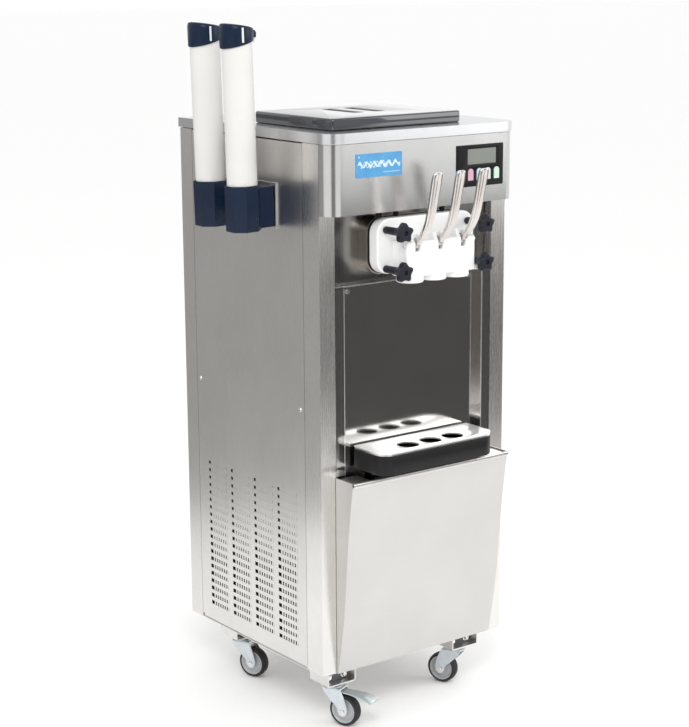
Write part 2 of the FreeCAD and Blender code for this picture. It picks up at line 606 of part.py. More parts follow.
def refrigeration():
    floor = "base_level + skin"
    can = rod("compressor_can", "can_radius", 170, 110, 330, f"{floor} + 10")
    dome = document.addObject("Part::Sphere", "compressor_dome")
    bind(dome, Radius="can_radius")
    locate(dome, 110, 330, f"{floor} + 180")
    foot = block("compressor_foot", 35, 185, 255, 405, floor, f"{floor} + 10")
    node(join("compressor_unit", can, dome, foot), "compressor")

    left, eye_y, eye_z = "condenser_x", 245, 340
    core = block("condenser_core", left, f"{left} + 30", 90, 400, floor, "560")
    frame = shell("condenser_shroud", f"{left} + 31", f"{left} + 82", 90, 400, floor, "560", "+X -Y +Y -Z +Z")
    eye = rod("condenser_eye", "fan_radius + 12", 60, f"{left} + 60", eye_y, eye_z, "X")
    parts = [rod("fan_motor", 30, 60, f"{left} + 92", eye_y, eye_z, "X"),
             block("fan_arms", f"{left} + 93", f"{left} + 102", 115, 375, 330, 350)]
    for index, y in enumerate((115, 368)):
        parts.append(block(f"fan_stand_{index}", f"{left} + 80", f"{left} + 93", y, y + 7, 330, 350))
    bearing = rod("fan_bearing", "4 + fit", 12, f"{left} + 91", eye_y, eye_z, "X")
    drive = cut("fan_drive", join("fan_drive_body", *parts), bearing)
    node(group("condenser_group", core, join("condenser_fan", cut("condenser_ring", frame, eye), drive)),
         "condenser")

    parts = [rod("fan_hub", 28, 16, -8, 0, 0, "X"), rod("fan_axle", 4, 24, 6, 0, 0, "X")]
    for index in range(5):
        blade = document.addObject("Part::Box", f"fan_vane_{index}")
        bind(blade, Length=4, Width=40, Height="fan_radius - 20")
        turn = FreeCAD.Rotation(Vector(1, 0, 0), 72 * index) * FreeCAD.Rotation(Vector(0, 0, 1), 22)
        blade.Placement = FreeCAD.Placement(Vector(), turn) * FreeCAD.Placement(Vector(-2, -20, 20),
                                                                                FreeCAD.Rotation())
        parts.append(blade)
    node(join("fan_wheel", *parts), "fan_blade", f"{left} + 71", eye_y, eye_z)

    run = [rod("line_rise", 5, 618, 180, 440, f"{floor} + 30"), rod("line_across", 5, 250, -70, 440, 790, "X"),
           rod("line_left_rise", 5, 290, -70, 440, 790), rod("line_low", 5, 350, -170, 440, 172, "X")]
    corners = []
    for index, (x, y, z) in enumerate(((180, 440, 172), (180, 440, 790), (-70, 440, 790))):
        ball = document.addObject("Part::Sphere", f"line_corner_{index}")
        bind(ball, Radius=5)
        locate(ball, x, y, z)
        corners.append(ball)
    drier = rod("line_drier", 14, 120, 180, 440, 560)
    node(join("line_set", *run, *corners, drier), "refrigerant_lines")


def control_box():
    """A sheet case, open towards the motors, with a circuit board on its back wall."""
    case = shell("control_case", 0, 290, 0, 45, 0, 240, "-X +X +Y -Z +Z")
    board = block("control_board", 20, 270, 35, 44, 20, 220)
    node(join("control_unit", case, board), "control_box", -180, "depth - 60", 700)


# ---------------------------------------------------------------- dispensing head

def outlet_names():
    return (("left", -1), ("centre", 0), ("right", 1))


def dispensing_head():
    plate = rounded_plate("head_plate", "plate_half", "plate_low", "plate_high", "plate_corner", "plate_front",
                          "plate_back")
    front = block("head_block", "-block_half", "block_half", "block_front", "plate_front + 1", "block_low",
                  "block_high")
    solids, hollows = [plate, front], []
    for name, side in outlet_names():
        x = f"{side} * pitch"
        solids.append(rod(f"outlet_{name}", "outlet_radius", "block_high - outlet_low", x, "outlet_y",
                          "outlet_low"))
        hollows.append(rod(f"outlet_{name}_bore", "piston_radius + fit", 200, x, "outlet_y", "outlet_low - 1"))
        hollows.append(block(f"lever_slot_{name}", f"{x} - lever_gap / 2", f"{x} + lever_gap / 2",
                             "block_front - 1", "outlet_y", "pin_level - 14", "block_high + 1"))
    for side in (-1, 1):
        hollows.append(rod(f"feed_{side + 1}", 7, 70, f"{side} * pitch", "outlet_y", "feed_level", "Y"))
        for level in ("stud_low", "stud_high"):
            hollows.append(rod(f"stud_way_{side + 1}_{level}", "stud_radius + 0.3", 80, f"{side} * stud_x", -60,
                               level, "Y"))
    hollows.append(rod("twist_gallery", 5, "2 * pitch", "-pitch", -20, "feed_level", "X"))
    hollows.append(rod("twist_feed", 4, 42, 0, "outlet_y", "feed_level", "Y"))
    hollows.append(rod("pin_way", "pin_radius", 300, -150, "pin_y", "pin_level", "X"))
    node(cut("head", join("head_body", *solids), *hollows), "dispensing_head")
    node(rod("pin", "pin_radius", "2 * block_half + 8", 0, 0, 0, "X"), "lever_pivot_pin", "-block_half - 4",
         "pin_y", "pin_level")


def levers_and_pistons():
    """Each lever turns on the pivot pin; its short arm lifts the draw valve's piston."""
    for name, side in outlet_names():
        x = f"{side} * pitch"
        body = new_body(f"lever_{name}_handle")
        path = new_sketch(body, "YZ_Plane", f"lever_{name}_side")
        outline(path, ((-10, 6), (-44, 48), (-72, 168), (-80, 166), (-53, 43), (-17, -1)))
        pad(body, path, "lever_width", both_ways=True)
        hub = rod(f"lever_{name}_hub", 7.5, "lever_hub", "-lever_hub / 2", 0, 0, "X")
        neck = new_body(f"lever_{name}_neck")
        throat = new_sketch(neck, "YZ_Plane", f"lever_{name}_throat")
        outline(throat, ((-2, 8), (-19, 18), (-25, 12), (-8, -4)))
        pad(neck, throat, "lever_hub", both_ways=True)
        arm = block(f"lever_{name}_arm", "-lever_hub / 2", "lever_hub / 2", 0, "outlet_y - pin_y", -3, 3)
        tip = rod(f"lever_{name}_tip", 4, "lever_hub", "-lever_hub / 2", "outlet_y - pin_y", 0, "X")
        bore = rod(f"lever_{name}_bore", "pin_radius + fit", 60, -30, 0, 0, "X")
        lever = cut(f"lever_{name}_all", join(f"lever_{name}_body", body, neck, hub, arm, tip), bore)
        node(lever, f"lever_{name}", x, "pin_y", "pin_level")

        stem = rod(f"piston_{name}_stem", "piston_radius", "piston_high - piston_low", 0, 0, 0)
        notch = block(f"piston_{name}_notch", "-lever_gap / 2 - 1", "lever_gap / 2 + 1", "-piston_radius - 1", 8,
                      "pin_level - piston_low - 13", "pin_level - piston_low + 14")
        node(cut(f"piston_{name}_all", stem, notch), f"piston_{name}", x, "outlet_y", "piston_low")


def star_knobs():
    """Four studs hold the head; a five-lobed knob with a long sleeve screws on each."""
    studs = []
    for across, side in (("left", -1), ("right", 1)):
        for height, level in (("lower", "stud_low"), ("upper", "stud_high")):
            name = f"{height}_{across}"
            studs.append(rod(f"stud_{name}", "stud_radius", "plate_back - knob_front + 10", f"{side} * stud_x",
                             "knob_front + 6", level, "Y"))
            parts = [rod(f"knob_{name}_core", "knob_core", "knob_thick", 0, 0, 0, "Y"),
                     rod(f"knob_{name}_sleeve", 7.5, "plate_front - knob_front - 0.4", 0, 0, 0, "Y")]
            for index in range(5):
                lobe = rod(f"knob_{name}_lobe_{index}", "knob_lobe", "knob_thick", 0, 0, 0, "Y")
                bind(lobe, Placement__Base__x=f"knob_core * sin({72 * index} deg)",
                     Placement__Base__z=f"knob_core * cos({72 * index} deg)")
                parts.append(lobe)
            bore = rod(f"knob_{name}_bore", "stud_radius + fit", 100, 0, -1, 0, "Y")
            node(cut(f"knob_{name}_all", join(f"knob_{name}_body", *parts), bore), f"star_knob_{name}",
                 f"{side} * stud_x", "knob_front", level)
    node(group("stud_group", *studs), "head_studs")


# ---------------------------------------------------------------- display, lid and drip tray

def display():
    """A framed window and four keys in the hood's front."""
    x, z, front = "display_x", "display_z", "-hood_reach"
    frame = block("bezel_face", f"{x} - display_width / 2", f"{x} + display_width / 2", f"{front} - 3", front,
                  f"{z} - display_height / 2", f"{z} + display_height / 2")
    case = block("bezel_case", f"{x} - display_width / 2 + 8", f"{x} + display_width / 2 - 8", front,
                 f"{front} + 26", f"{z} - display_height / 2 + 8", f"{z} + display_height / 2 - 8")
    window = block("bezel_window", f"{x} + 5 - 43", f"{x} + 5 + 43", f"{front} - 4", f"{front} - 2", f"{z} + 3",
                   f"{z} + 38")
    hollows = [window]
    for index in range(4):
        across = f"{x} + 10 + {index - 1.5} * key_pitch"
        hollows.append(block(f"key_way_{index}", f"{across} - key_width / 2 - 0.3", f"{across} + key_width / 2 + 0.3",
                             f"{front} - 4", f"{front} + 4", "key_z - key_height / 2 - 0.3",
                             "key_z + key_height / 2 + 0.3"))
        key = block(f"key_{index}_body", "-key_width / 2", "key_width / 2", 0, 5, "-key_height / 2",
                    "key_height / 2")
        node(join(f"key_{index}_all", key, rod(f"key_{index}_stem", 3, 1.5, 0, 4.5, 0, "Y")), f"key_{index + 1}",
             across, f"{front} - 3 - key_travel", "key_z")
    node(cut("bezel", join("bezel_body", frame, case), *hollows), "display_module")


def round_fronted(body, name, half, front, back, corner, level, inset=0):
    """A sketch of an outline that is square behind and has round front corners."""
    sketch = new_sketch(body, "XY_Plane", name, level)
    left, right = f"-({half}) + {inset}", f"({half}) - {inset}"
    near, far = f"({front}) + {inset}", f"({back}) - {inset}"
    outline(sketch, ((left, far), (left, f"({front}) + ({corner})"),
                     (f"-({half}) + ({corner})", near, -QUARTER), (f"({half}) - ({corner})", near),
                     (right, f"({front}) + ({corner})", -QUARTER), (right, far)))
    return sketch


def hopper_lid():
    """A shallow moulded lid with two finger slots."""
    body = new_body("lid")
    rim = new_sketch(body, "XY_Plane", "lid_outline")
    width, length = "lid_half", "lid_back - lid_front"
    outline(rim, ((f"-{width}", length), (f"-{width}", 0), (width, 0), (width, length)))
    pad(body, rim, "lid_thick")
    hollow = new_sketch(body, "XY_Plane", "lid_hollow", "lid_thick - 4")
    outline(hollow, ((f"-{width} + 4", f"{length} - 4"), (f"-{width} + 4", 4), (f"{width} - 4", 4),
                     (f"{width} - 4", f"{length} - 4")))
    pocket(body, hollow, "lid_thick")
    grip = block("lid_grip", -52, 52, 96, 236, "lid_thick - 17", "lid_thick - 2")
    slots = [block(f"lid_slot_{side + 1}", f"{side} * 31 - 12", f"{side} * 31 + 12", 104, 228, "lid_thick - 14",
                   "lid_thick + 1") for side in (-1, 1)]
    node(cut("lid_all", join("lid_body", body, grip), *slots), "hopper_lid", "hopper_middle", "lid_front",
         "top_level")


def drip_tray():
    body = new_body("tray")
    pad(body, round_fronted(body, "tray_outline", "tray_half", "tray_front", "tray_back", "tray_corner",
                            "rest_level"), "tray_level - rest_level")
    pocket(body, round_fronted(body, "tray_hollow", "tray_half", "tray_front", "tray_back", "tray_corner",
                               "rest_level + tray_wall", "tray_wall"), 200, turned=True)
    node(body, "drip_tray")

    plate = new_body("drip_plate")
    pad(plate, round_fronted(plate, "drip_outline", "tray_half", "tray_front", "tray_back", "tray_corner",
                             "tray_level"), "drip_level - tray_level")
    pocket(plate, round_fronted(plate, "drip_hollow", "tray_half", "tray_front", "tray_back", "tray_corner",
                                "drip_level - 2", 2), "drip_level - tray_level")
    holes = new_sketch(plate, "XY_Plane", "drip_holes", "drip_level + 1")
    for _, side in outlet_names():
        circle(holes, f"{side} * pitch", "drip_y", "drip_hole")
    pocket(plate, holes, 20)
    node(plate, "drip_cover")


# ---------------------------------------------------------------- castors

def castors():
    for name, x, y, heading in castor_spots():
        braked = name == "front_left"
        legs = new_body(f"fork_{name}_legs")
        side = new_sketch(legs, "YZ_Plane", f"fork_{name}_side")
        outline(side, ((18, 91), (-28, 91), ("-trail - 14", 44), ("-trail - 10", 26), ("-trail + 8", 26), (-6, 60)))
        pad(legs, side, "fork_gap + 2 * fork_leg", both_ways=True)
        between = new_sketch(legs, "YZ_Plane", f"fork_{name}_between")
        outline(between, ((40, 0), (40, 87), (-80, 87), (-80, 0)))
        pocket(legs, between, "fork_gap", both_ways=True)
        parts = [legs, rod(f"fork_{name}_disc", 22, 6.5, 0, 0, "castor_high - 16"),
                 rod(f"fork_{name}_kingpin", "kingpin_radius", 16, 0, 0, "castor_high - 17"),
                 rod(f"fork_{name}_axle", "axle_radius", "fork_gap + 2 * fork_leg + 4",
                     "-fork_gap / 2 - fork_leg - 2", "-trail", "wheel_radius", "X")]
        if braked:
            parts.append(rod("pedal_pin", 3, "fork_gap + 2 * fork_leg", "-fork_gap / 2 - fork_leg", -24, 81, "X"))
        fork = node(join(f"fork_{name}_all", *parts), f"castor_fork_{name}", x, y)
        tread = rod(f"wheel_{name}_tread", "wheel_radius", "wheel_width", "-wheel_width / 2", 0, 0, "X")
        edge = document.addObject("Part::Fillet", f"wheel_{name}_edge")
        edge.Base = tread
        edge.Edges = [(1, 5, 5), (3, 5, 5)]
        bore = rod(f"wheel_{name}_bore", "axle_radius + fit", 60, -30, 0, 0, "X")
        reach = f"trail * sin({heading})", f"trail * cos({heading})"
        wheel = node(cut(f"wheel_{name}_all", edge, bore), f"castor_wheel_{name}", f"{x} + {reach[0]}",
                     f"{y} - {reach[1]}", "wheel_radius")
        turning = [fork, wheel]
        if braked:
            turning.append(brake_pedal(x, y, heading))
        for piece in turning:
            piece.Placement.Rotation = FreeCAD.Rotation(Vector(0, 0, 1), 1)
            bind(piece, Placement__Rotation__Angle=heading)


def brake_pedal(x, y, heading):
    """A foot pedal that swings down on a pin through the fork."""
    body = new_body("pedal")
    side = new_sketch(body, "YZ_Plane", "pedal_side")
    outline(side, ((0, 5), (-38, 3), (-70, -5), (-80, -13), (-79, -16), (-68, -9), (-38, -1), (0, 1)))
    pad(body, side, "fork_gap - 2", both_ways=True)
    hub = rod("pedal_hub", 5, "fork_gap - 2", "1 - fork_gap / 2", 0, 0, "X")
    bore = rod("pedal_bore", "3 + fit", 60, -30, 0, 0, "X")
    return node(cut("pedal_all", join("pedal_body", body, hub), bore), "brake_pedal",
                f"{x} + 24 * sin({heading})", f"{y} - 24 * cos({heading})", 81)


# ---------------------------------------------------------------- cone dispensers

def cone_dispensers():
    """Two leaning tubes in holders on the left side, each with a hinged cap."""
    holders, tubes = [], []
    spots = (("front", "tube_front"), ("rear", "tube_rear"))
    for name, y in spots:
        octagon = new_body(f"holder_{name}")
        corner = "holder_radius * tan(22.5 deg)"
        ring = new_sketch(octagon, "XY_Plane", f"holder_{name}_outline")
        far, near = "holder_radius", corner
        outline(ring, ((far, near), (near, far), (f"-{near}", far), (f"-{far}", near), (f"-{far}", f"-{near}"),
                       (f"-{near}", f"-{far}"), (near, f"-{far}"), (far, f"-{near}")))
        pad(octagon, ring, "holder_height")
        lug = block(f"holder_{name}_lug", 30, 70.9, -20, 20, 4, "holder_height - 8")
        bore = rod(f"holder_{name}_bore", "tube_radius", 200, 0, 0, 6)
        mouth = rod(f"holder_{name}_mouth", "tube_radius - 6", 20, 0, 0, -5)
        holders.append(cut(f"holder_{name}_all", join(f"holder_{name}_body", octagon, lug), bore, mouth))
        hinge = block(f"tube_{name}_hinge", "tube_radius - 1", "hinge_x + 4", -4, 4, "hinge_z - 14", "hinge_z + 4")
        tube = join(f"tube_{name}_body", rod(f"tube_{name}_outer", "tube_radius", "tube_length", 0, 0, 6), hinge)
        inside = rod(f"tube_{name}_inside", "tube_radius - tube_wall", 500, 0, 0, 0)
        eye = rod(f"tube_{name}_eye", "2 + fit", 20, "hinge_x", -10, "hinge_z", "Y")
        tubes.append(cut(f"tube_{name}_all", tube, inside, eye))
    for items in (holders, tubes):
        for item, (_, y) in zip(items, spots):
            locate(lean_out(item), "tube_x", y, "tube_low")
    node(group("holder_group", *holders), "dispenser_holders")
    node(group("tube_group", *tubes), "dispenser_tubes")
    node(block("rail_plate", 0, 4, 0, "tube_rear - tube_front + 44", 0, "holder_height"), "dispenser_rail",
         "-width / 2 - 4", "tube_front - 22", "tube_low")
    for name, y in spots:
        node(lean_out(dispenser_cap(name)), f"dispenser_cap_{name}", "tube_x", y, "tube_low")


def lean_out(item):
    """Tip a piece outwards about its foot."""
    item.Placement.Rotation = FreeCAD.Rotation(Vector(0, -1, 0), 1)
    bind(item, Placement__Rotation__Angle="lean")
    return item


def dispenser_cap(name):
    outer = rod(f"cap_{name}_outer", "cap_radius", "cap_high - cap_low", 0, 0, "cap_low")
    inner = rod(f"cap_{name}_inner", "cap_radius - 2.5", "cap_high - cap_low - 18", 0, 0, "cap_low - 1")
    wedges = []
    for place, level, rise, low in (("top", "cap_high", 10.7, 0), ("skirt", "cap_low", -13.7, -60)):
        wedge = document.addObject("Part::Box", f"cap_{name}_{place}")
        bind(wedge, Length=120, Width=120, Height=60)
        wedge.Placement = FreeCAD.Placement(Vector(-number("cap_radius"), -60, number(level)),
                                            FreeCAD.Rotation(Vector(0, 1, 0), rise)) * FreeCAD.Placement(
            Vector(0, 0, low), FreeCAD.Rotation())
        wedges.append(wedge)
    notch = block(f"cap_{name}_notch", 24, 60, -16, 16, "cap_low - 5", "hinge_z + 6")
    skirt = cut(f"cap_{name}_skirt", outer, inner, notch, *wedges)
    ears = [block(f"cap_{name}_ear_{index}", "cap_radius - 8", "hinge_x + 4", y, y + 5, "hinge_z - 4", "hinge_z + 12")
            for index, y in enumerate((-9.3, 4.3))]
    pin = rod(f"cap_{name}_pin", 2, 18.6, "hinge_x", -9.3, "hinge_z", "Y")
    return join(f"cap_{name}_all", skirt, *ears, pin)


def cabinet_screws():
    heads = []
    for side, x in (("left", "-width / 2 - 2"), ("right", "width / 2")):
        for end, y in (("front", "post_side + 20"), ("rear", "depth - rear_wrap - 12")):
            heads.append(rod(f"screw_{side}_{end}", 5, 2, x, y, 757, "X"))
    for side in (-1, 1):
        heads.append(rod(f"screw_splash_{side + 1}", 5, 2, f"{side} * 178", "recess - skin - 2", 1026, "Y"))
    node(group("screw_group", *heads), "cabinet_screws")


# ---------------------------------------------------------------- build, check and write

for make in (chassis, castor_mounts, side_panels, rear_and_base, front_posts, front_panels, hood_and_cover,
             lower_door, mix_side, beaters, motors, refrigeration, control_box, dispensing_head,
             levers_and_pistons, star_knobs, display, hopper_lid, drip_tray, castors, cone_dispensers,
             cabinet_screws):
    make()
document.recompute()

for item in document.Objects:
    if "Invalid" in item.State or "Error" in item.State:
        raise RuntimeError(f"{item.Name} failed to compute")
os.makedirs("parts", exist_ok=True)
for item in NODES:
    if item.Shape.isNull() or not item.Shape.isValid():
        raise RuntimeError(f"{item.Label} is not a valid shape")
    item.Shape.exportStep(f"parts/{item.Label}.step")
print(len(NODES), "sub-parts written")
whole = Part.makeCompound([item.Shape for item in NODES]).BoundBox
print(f"box {whole.XMin:.1f} {whole.XMax:.1f} {whole.YMin:.1f} {whole.YMax:.1f} {whole.ZMin:.1f} {whole.ZMax:.1f}")
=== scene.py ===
import math

import bmesh
import bpy
from mathutils import Matrix, Vector


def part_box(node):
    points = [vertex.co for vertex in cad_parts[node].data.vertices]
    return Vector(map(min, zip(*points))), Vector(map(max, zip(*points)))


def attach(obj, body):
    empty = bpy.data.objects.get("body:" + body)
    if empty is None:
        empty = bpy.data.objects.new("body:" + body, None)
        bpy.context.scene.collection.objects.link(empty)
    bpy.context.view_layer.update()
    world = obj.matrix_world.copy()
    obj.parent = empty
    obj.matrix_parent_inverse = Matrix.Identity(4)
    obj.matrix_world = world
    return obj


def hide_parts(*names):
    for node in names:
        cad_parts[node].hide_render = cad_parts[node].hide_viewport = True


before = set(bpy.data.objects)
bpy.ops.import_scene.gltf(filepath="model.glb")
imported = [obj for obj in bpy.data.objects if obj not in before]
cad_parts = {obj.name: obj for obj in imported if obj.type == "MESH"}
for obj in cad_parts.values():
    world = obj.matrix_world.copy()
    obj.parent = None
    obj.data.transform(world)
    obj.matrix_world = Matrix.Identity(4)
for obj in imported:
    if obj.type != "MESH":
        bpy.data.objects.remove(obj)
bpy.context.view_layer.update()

# Places are in millimetres in the cabinet's own frame: right of its middle, behind the front of
# its posts, and above the floor. Both references are read from the CAD.
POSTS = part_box("front_posts")
MIDDLE = (POSTS[0].x + POSTS[1].x) / 2
FRONT = POSTS[0].y


def at(x, y, z):
    return Vector((MIDDLE + x / 1000, FRONT + y / 1000, z / 1000))


def span(node):
    """A CAD node's box, as (x0, x1, y0, y1, z0, z1) in the cabinet's frame."""
    low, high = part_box(node)
    return ((low.x - MIDDLE) * 1000, (high.x - MIDDLE) * 1000, (low.y - FRONT) * 1000,
            (high.y - FRONT) * 1000, low.z * 1000, high.z * 1000)


# ---------------------------------------------------------------- materials

def noise(nodes, scale, detail, roughness=0.5):
    node = nodes.new("ShaderNodeTexNoise")
    node.inputs["Scale"].default_value = scale
    node.inputs["Detail"].default_value = detail
    node.inputs["Roughness"].default_value = roughness
    return node


def remap(nodes, from_low, from_high, to_low=0.0, to_high=1.0):
    node = nodes.new("ShaderNodeMapRange")
    node.inputs["From Min"].default_value = from_low
    node.inputs["From Max"].default_value = from_high
    node.inputs["To Min"].default_value = to_low
    node.inputs["To Max"].default_value = to_high
    return node


def mixer(nodes, blend="MIX"):
    """A colour mix: input 0 is its factor, inputs 6 and 7 its colours, and output 2 its result."""
    node = nodes.new("ShaderNodeMix")
    node.data_type = "RGBA"
    node.blend_type = blend
    return node


def wear_and_painted_highlight(nodes, links, colour, strength, under):
    """Lighten a finish where its surface is ridged, partly wear and partly a painted highlight, and give
    back the new colour output.
    """
    geometry = nodes.new("ShaderNodeNewGeometry")
    ridge = remap(nodes, 0.52, 0.62, to_high=strength)
    light = mixer(nodes)
    light.inputs[7].default_value = (*(min(1, 2.2 * c + 0.12) for c in colour), 1)
    links.new(geometry.outputs["Pointiness"], ridge.inputs["Value"])
    links.new(ridge.outputs["Result"], light.inputs[0])
    links.new(under, light.inputs[6])
    return light.outputs[2]


def base_colour(nodes, links, colour, shade, fine, broad, speckle):
    """Broad patches of two tones, darkened a little by the fine grain."""
    patches = mixer(nodes)
    patches.inputs[6].default_value = (*colour, 1)
    patches.inputs[7].default_value = (*shade, 1)
    spreader = remap(nodes, 0.35, 0.65)
    links.new(broad.outputs["Fac"], spreader.inputs["Value"])
    links.new(spreader.outputs["Result"], patches.inputs[0])
    tone = nodes.new("ShaderNodeValToRGB")
    tone.color_ramp.elements[0].position = 0.3
    tone.color_ramp.elements[0].color = (0.45, 0.45, 0.45, 1)
    tone.color_ramp.elements[1].position = 0.7
    tone.color_ramp.elements[1].color = (1, 1, 1, 1)
    links.new(fine.outputs["Fac"], tone.inputs["Fac"])
    streaks = mixer(nodes, "MULTIPLY")
    streaks.inputs[0].default_value = speckle
    links.new(patches.outputs[2], streaks.inputs[6])
    links.new(tone.outputs["Color"], streaks.inputs[7])
    return streaks.outputs[2]


def surface(name, colour, shade, metallic, rough, spread, grain, bump, stretch=(1, 1, 1), patch=7.0,
            coat=0.0, edge=0.0, speckle=0.1, shine=0.5):
    """A finish: its colour varies with grain and broad patches, its gloss and relief with the grain."""
    mat = bpy.data.materials.new(name)
    mat.use_nodes = True
    nodes, links = mat.node_tree.nodes, mat.node_tree.links
    nodes.clear()
    output = nodes.new("ShaderNodeOutputMaterial")
    shader = nodes.new("ShaderNodeBsdfPrincipled")
    shader.inputs["Metallic"].default_value = metallic
    shader.inputs["Coat Weight"].default_value = coat
    shader.inputs["Coat Roughness"].default_value = 0.04
    shader.inputs["Specular IOR Level"].default_value = shine
    where = nodes.new("ShaderNodeTexCoord")
    squeeze = nodes.new("ShaderNodeMapping")
    squeeze.inputs["Scale"].default_value = stretch
    fine = noise(nodes, grain, 5, 0.65)
    broad = noise(nodes, patch, 3)
    links.new(where.outputs["Object"], squeeze.inputs["Vector"])
    links.new(squeeze.outputs["Vector"], fine.inputs["Vector"])
    links.new(where.outputs["Object"], broad.inputs["Vector"])
    tint = base_colour(nodes, links, colour, shade, fine, broad, speckle)
    # Ridged edges are lightened: partly wear, partly a painted highlight.
    if edge:
        tint = wear_and_painted_highlight(nodes, links, colour, edge, tint)
    links.new(tint, shader.inputs["Base Color"])
    gloss = remap(nodes, 0.3, 0.7, max(0.02, rough - spread), rough + spread)
    links.new(fine.outputs["Fac"], gloss.inputs["Value"])
    links.new(gloss.outputs["Result"], shader.inputs["Roughness"])
    relief = nodes.new("ShaderNodeBump")
    relief.inputs["Strength"].default_value = bump
    relief.inputs["Distance"].default_value = 0.0004
    links.new(fine.outputs["Fac"], relief.inputs["Height"])
    links.new(relief.outputs["Normal"], shader.inputs["Normal"])
    links.new(shader.outputs["BSDF"], output.inputs["Surface"])
    return mat


# The brushed sheets' grain runs upright or from side to side.
UPRIGHT = (1, 1, 0.012)
LEVEL = (0.012, 0.012, 1)
STEEL = surface("brushed_upright", (0.78, 0.765, 0.745), (0.745, 0.73, 0.71), 1, 0.30, 0.04, 900, 0.03,
                UPRIGHT, speckle=0.05)
POST = surface("brushed_post", (0.82, 0.80, 0.775), (0.78, 0.765, 0.74), 1, 0.26, 0.03, 900, 0.015, UPRIGHT,
               speckle=0.03)
HOOD = surface("brushed_hood", (0.68, 0.68, 0.675), (0.63, 0.63, 0.625), 1, 0.19, 0.04, 900, 0.05, UPRIGHT,
               speckle=0.05)
DOOR = surface("brushed_door", (0.665, 0.65, 0.63), (0.64, 0.625, 0.605), 0.85, 0.38, 0.04, 900, 0.05,
               LEVEL, speckle=0.06)
PANEL = surface("dull_sheet", (0.34, 0.33, 0.315), (0.30, 0.29, 0.28), 1, 0.2, 0.04, 500, 0.03, UPRIGHT)
FLANGE = surface("turned_flange", (0.62, 0.565, 0.51), (0.56, 0.51, 0.46), 1, 0.32, 0.05, 400, 0.05)
CAST = surface("dull_casting", (0.72, 0.685, 0.66), (0.64, 0.60, 0.575), 1, 0.22, 0.04, 260, 0.03,
               edge=0.15)
TOP = surface("brushed_cover", (0.74, 0.75, 0.765), (0.71, 0.72, 0.735), 1, 0.25, 0.03, 900, 0.03,
              speckle=0.04)
MIRROR = surface("polished_sheet", (0.66, 0.64, 0.62), (0.62, 0.60, 0.58), 1, 0.1, 0.03, 500, 0.03, UPRIGHT)
SHINE = surface("polished_casting", (0.80, 0.775, 0.75), (0.70, 0.675, 0.65), 1, 0.2, 0.07, 260, 0.1,
                edge=0.5)
ZINC = surface("zinc_plate", (0.66, 0.715, 0.745), (0.58, 0.64, 0.67), 0.85, 0.36, 0.09, 140, 0.12,
               patch=60, edge=0.5)
WHITE = surface("white_moulding", (0.87, 0.87, 0.865), (0.83, 0.83, 0.825), 0, 0.34, 0.05, 420, 0.05,
                edge=0.3, speckle=0.03)
TUBE = surface("white_tube", (0.69, 0.68, 0.655), (0.66, 0.645, 0.625), 0, 0.42, 0.05, 300, 0.04, UPRIGHT,
               speckle=0.03, shine=0.2)
NAVY = surface("navy_moulding", (0.0045, 0.0135, 0.037), (0.0035, 0.0105, 0.030), 0, 0.3, 0.05, 600, 0.06,
               edge=0.12, shine=0.16)
BLACK = surface("black_moulding", (0.006, 0.006, 0.007), (0.009, 0.009, 0.010), 0, 0.36, 0.07, 700, 0.12,
                edge=0.12, shine=0.2)
KNOB = surface("knob_moulding", (0.012, 0.013, 0.021), (0.017, 0.018, 0.026), 0, 0.42, 0.08, 900, 0.2,
               edge=0.15, shine=0.2)
LID = surface("lid_moulding", (0.012, 0.013, 0.019), (0.016, 0.018, 0.025), 0, 0.06, 0.02, 500, 0.01,
              coat=1, edge=0.1, shine=0.4)
RUBBER = surface("tyre_rubber", (0.014, 0.014, 0.015), (0.024, 0.023, 0.023), 0, 0.6, 0.1, 800, 0.35,
                 patch=40, edge=0.15, shine=0.3)
HUB = surface("wheel_hub", (0.42, 0.43, 0.44), (0.36, 0.37, 0.38), 0.1, 0.4, 0.07, 400, 0.1, edge=0.4)
DRIP = surface("bright_plate", (0.90, 0.90, 0.895), (0.86, 0.86, 0.85), 0.55, 0.22, 0.05, 700, 0.04, LEVEL,
               speckle=0.06)
# Near-black: the colour of dark parts, and painted shade where it fills the lid's slots and stands behind
# the side vents.
DARK_AND_PAINTED_SHADE = surface("dark_and_painted_shade", (0.012, 0.012, 0.012), (0.018, 0.018, 0.018), 0, 0.7, 0.1, 300, 0.2, shine=0.1)
COPPER = surface("copper_line", (0.72, 0.40, 0.26), (0.55, 0.28, 0.18), 1, 0.3, 0.08, 120, 0.1)
FINS = surface("condenser_fins", (0.62, 0.63, 0.64), (0.5, 0.51, 0.52), 0.9, 0.4, 0.1, 900, 0.6,
               (1, 0.03, 1))
PAINT = surface("grey_paint", (0.16, 0.17, 0.18), (0.13, 0.14, 0.15), 0.2, 0.5, 0.1, 350, 0.2)
BLUE = surface("blue_label", (0.075, 0.28, 0.54), (0.10, 0.34, 0.60), 0, 0.3, 0.05, 300, 0.03, patch=30,
               shine=0.3)
MARK = surface("label_marks", (0.42, 0.60, 0.76), (0.62, 0.74, 0.85), 0, 0.35, 0.05, 300, 0.03, patch=40,
               shine=0.3)
SCREEN = surface("grey_screen", (0.20, 0.215, 0.19), (0.17, 0.185, 0.165), 0, 0.16, 0.03, 900, 0.02,
                 coat=0.4)
PINK = surface("pink_key", (0.60, 0.33, 0.40), (0.55, 0.28, 0.36), 0, 0.3, 0.05, 300, 0.05, edge=0.3)
SKY = surface("blue_key", (0.45, 0.62, 0.74), (0.40, 0.56, 0.70), 0, 0.3, 0.05, 300, 0.05, edge=0.3)
PALE = surface("grey_key", (0.55, 0.57, 0.58), (0.5, 0.52, 0.53), 0, 0.3, 0.05, 300, 0.05, edge=0.3)
GREEN = surface("green_key", (0.52, 0.68, 0.56), (0.46, 0.63, 0.51), 0, 0.3, 0.05, 300, 0.05, edge=0.3)

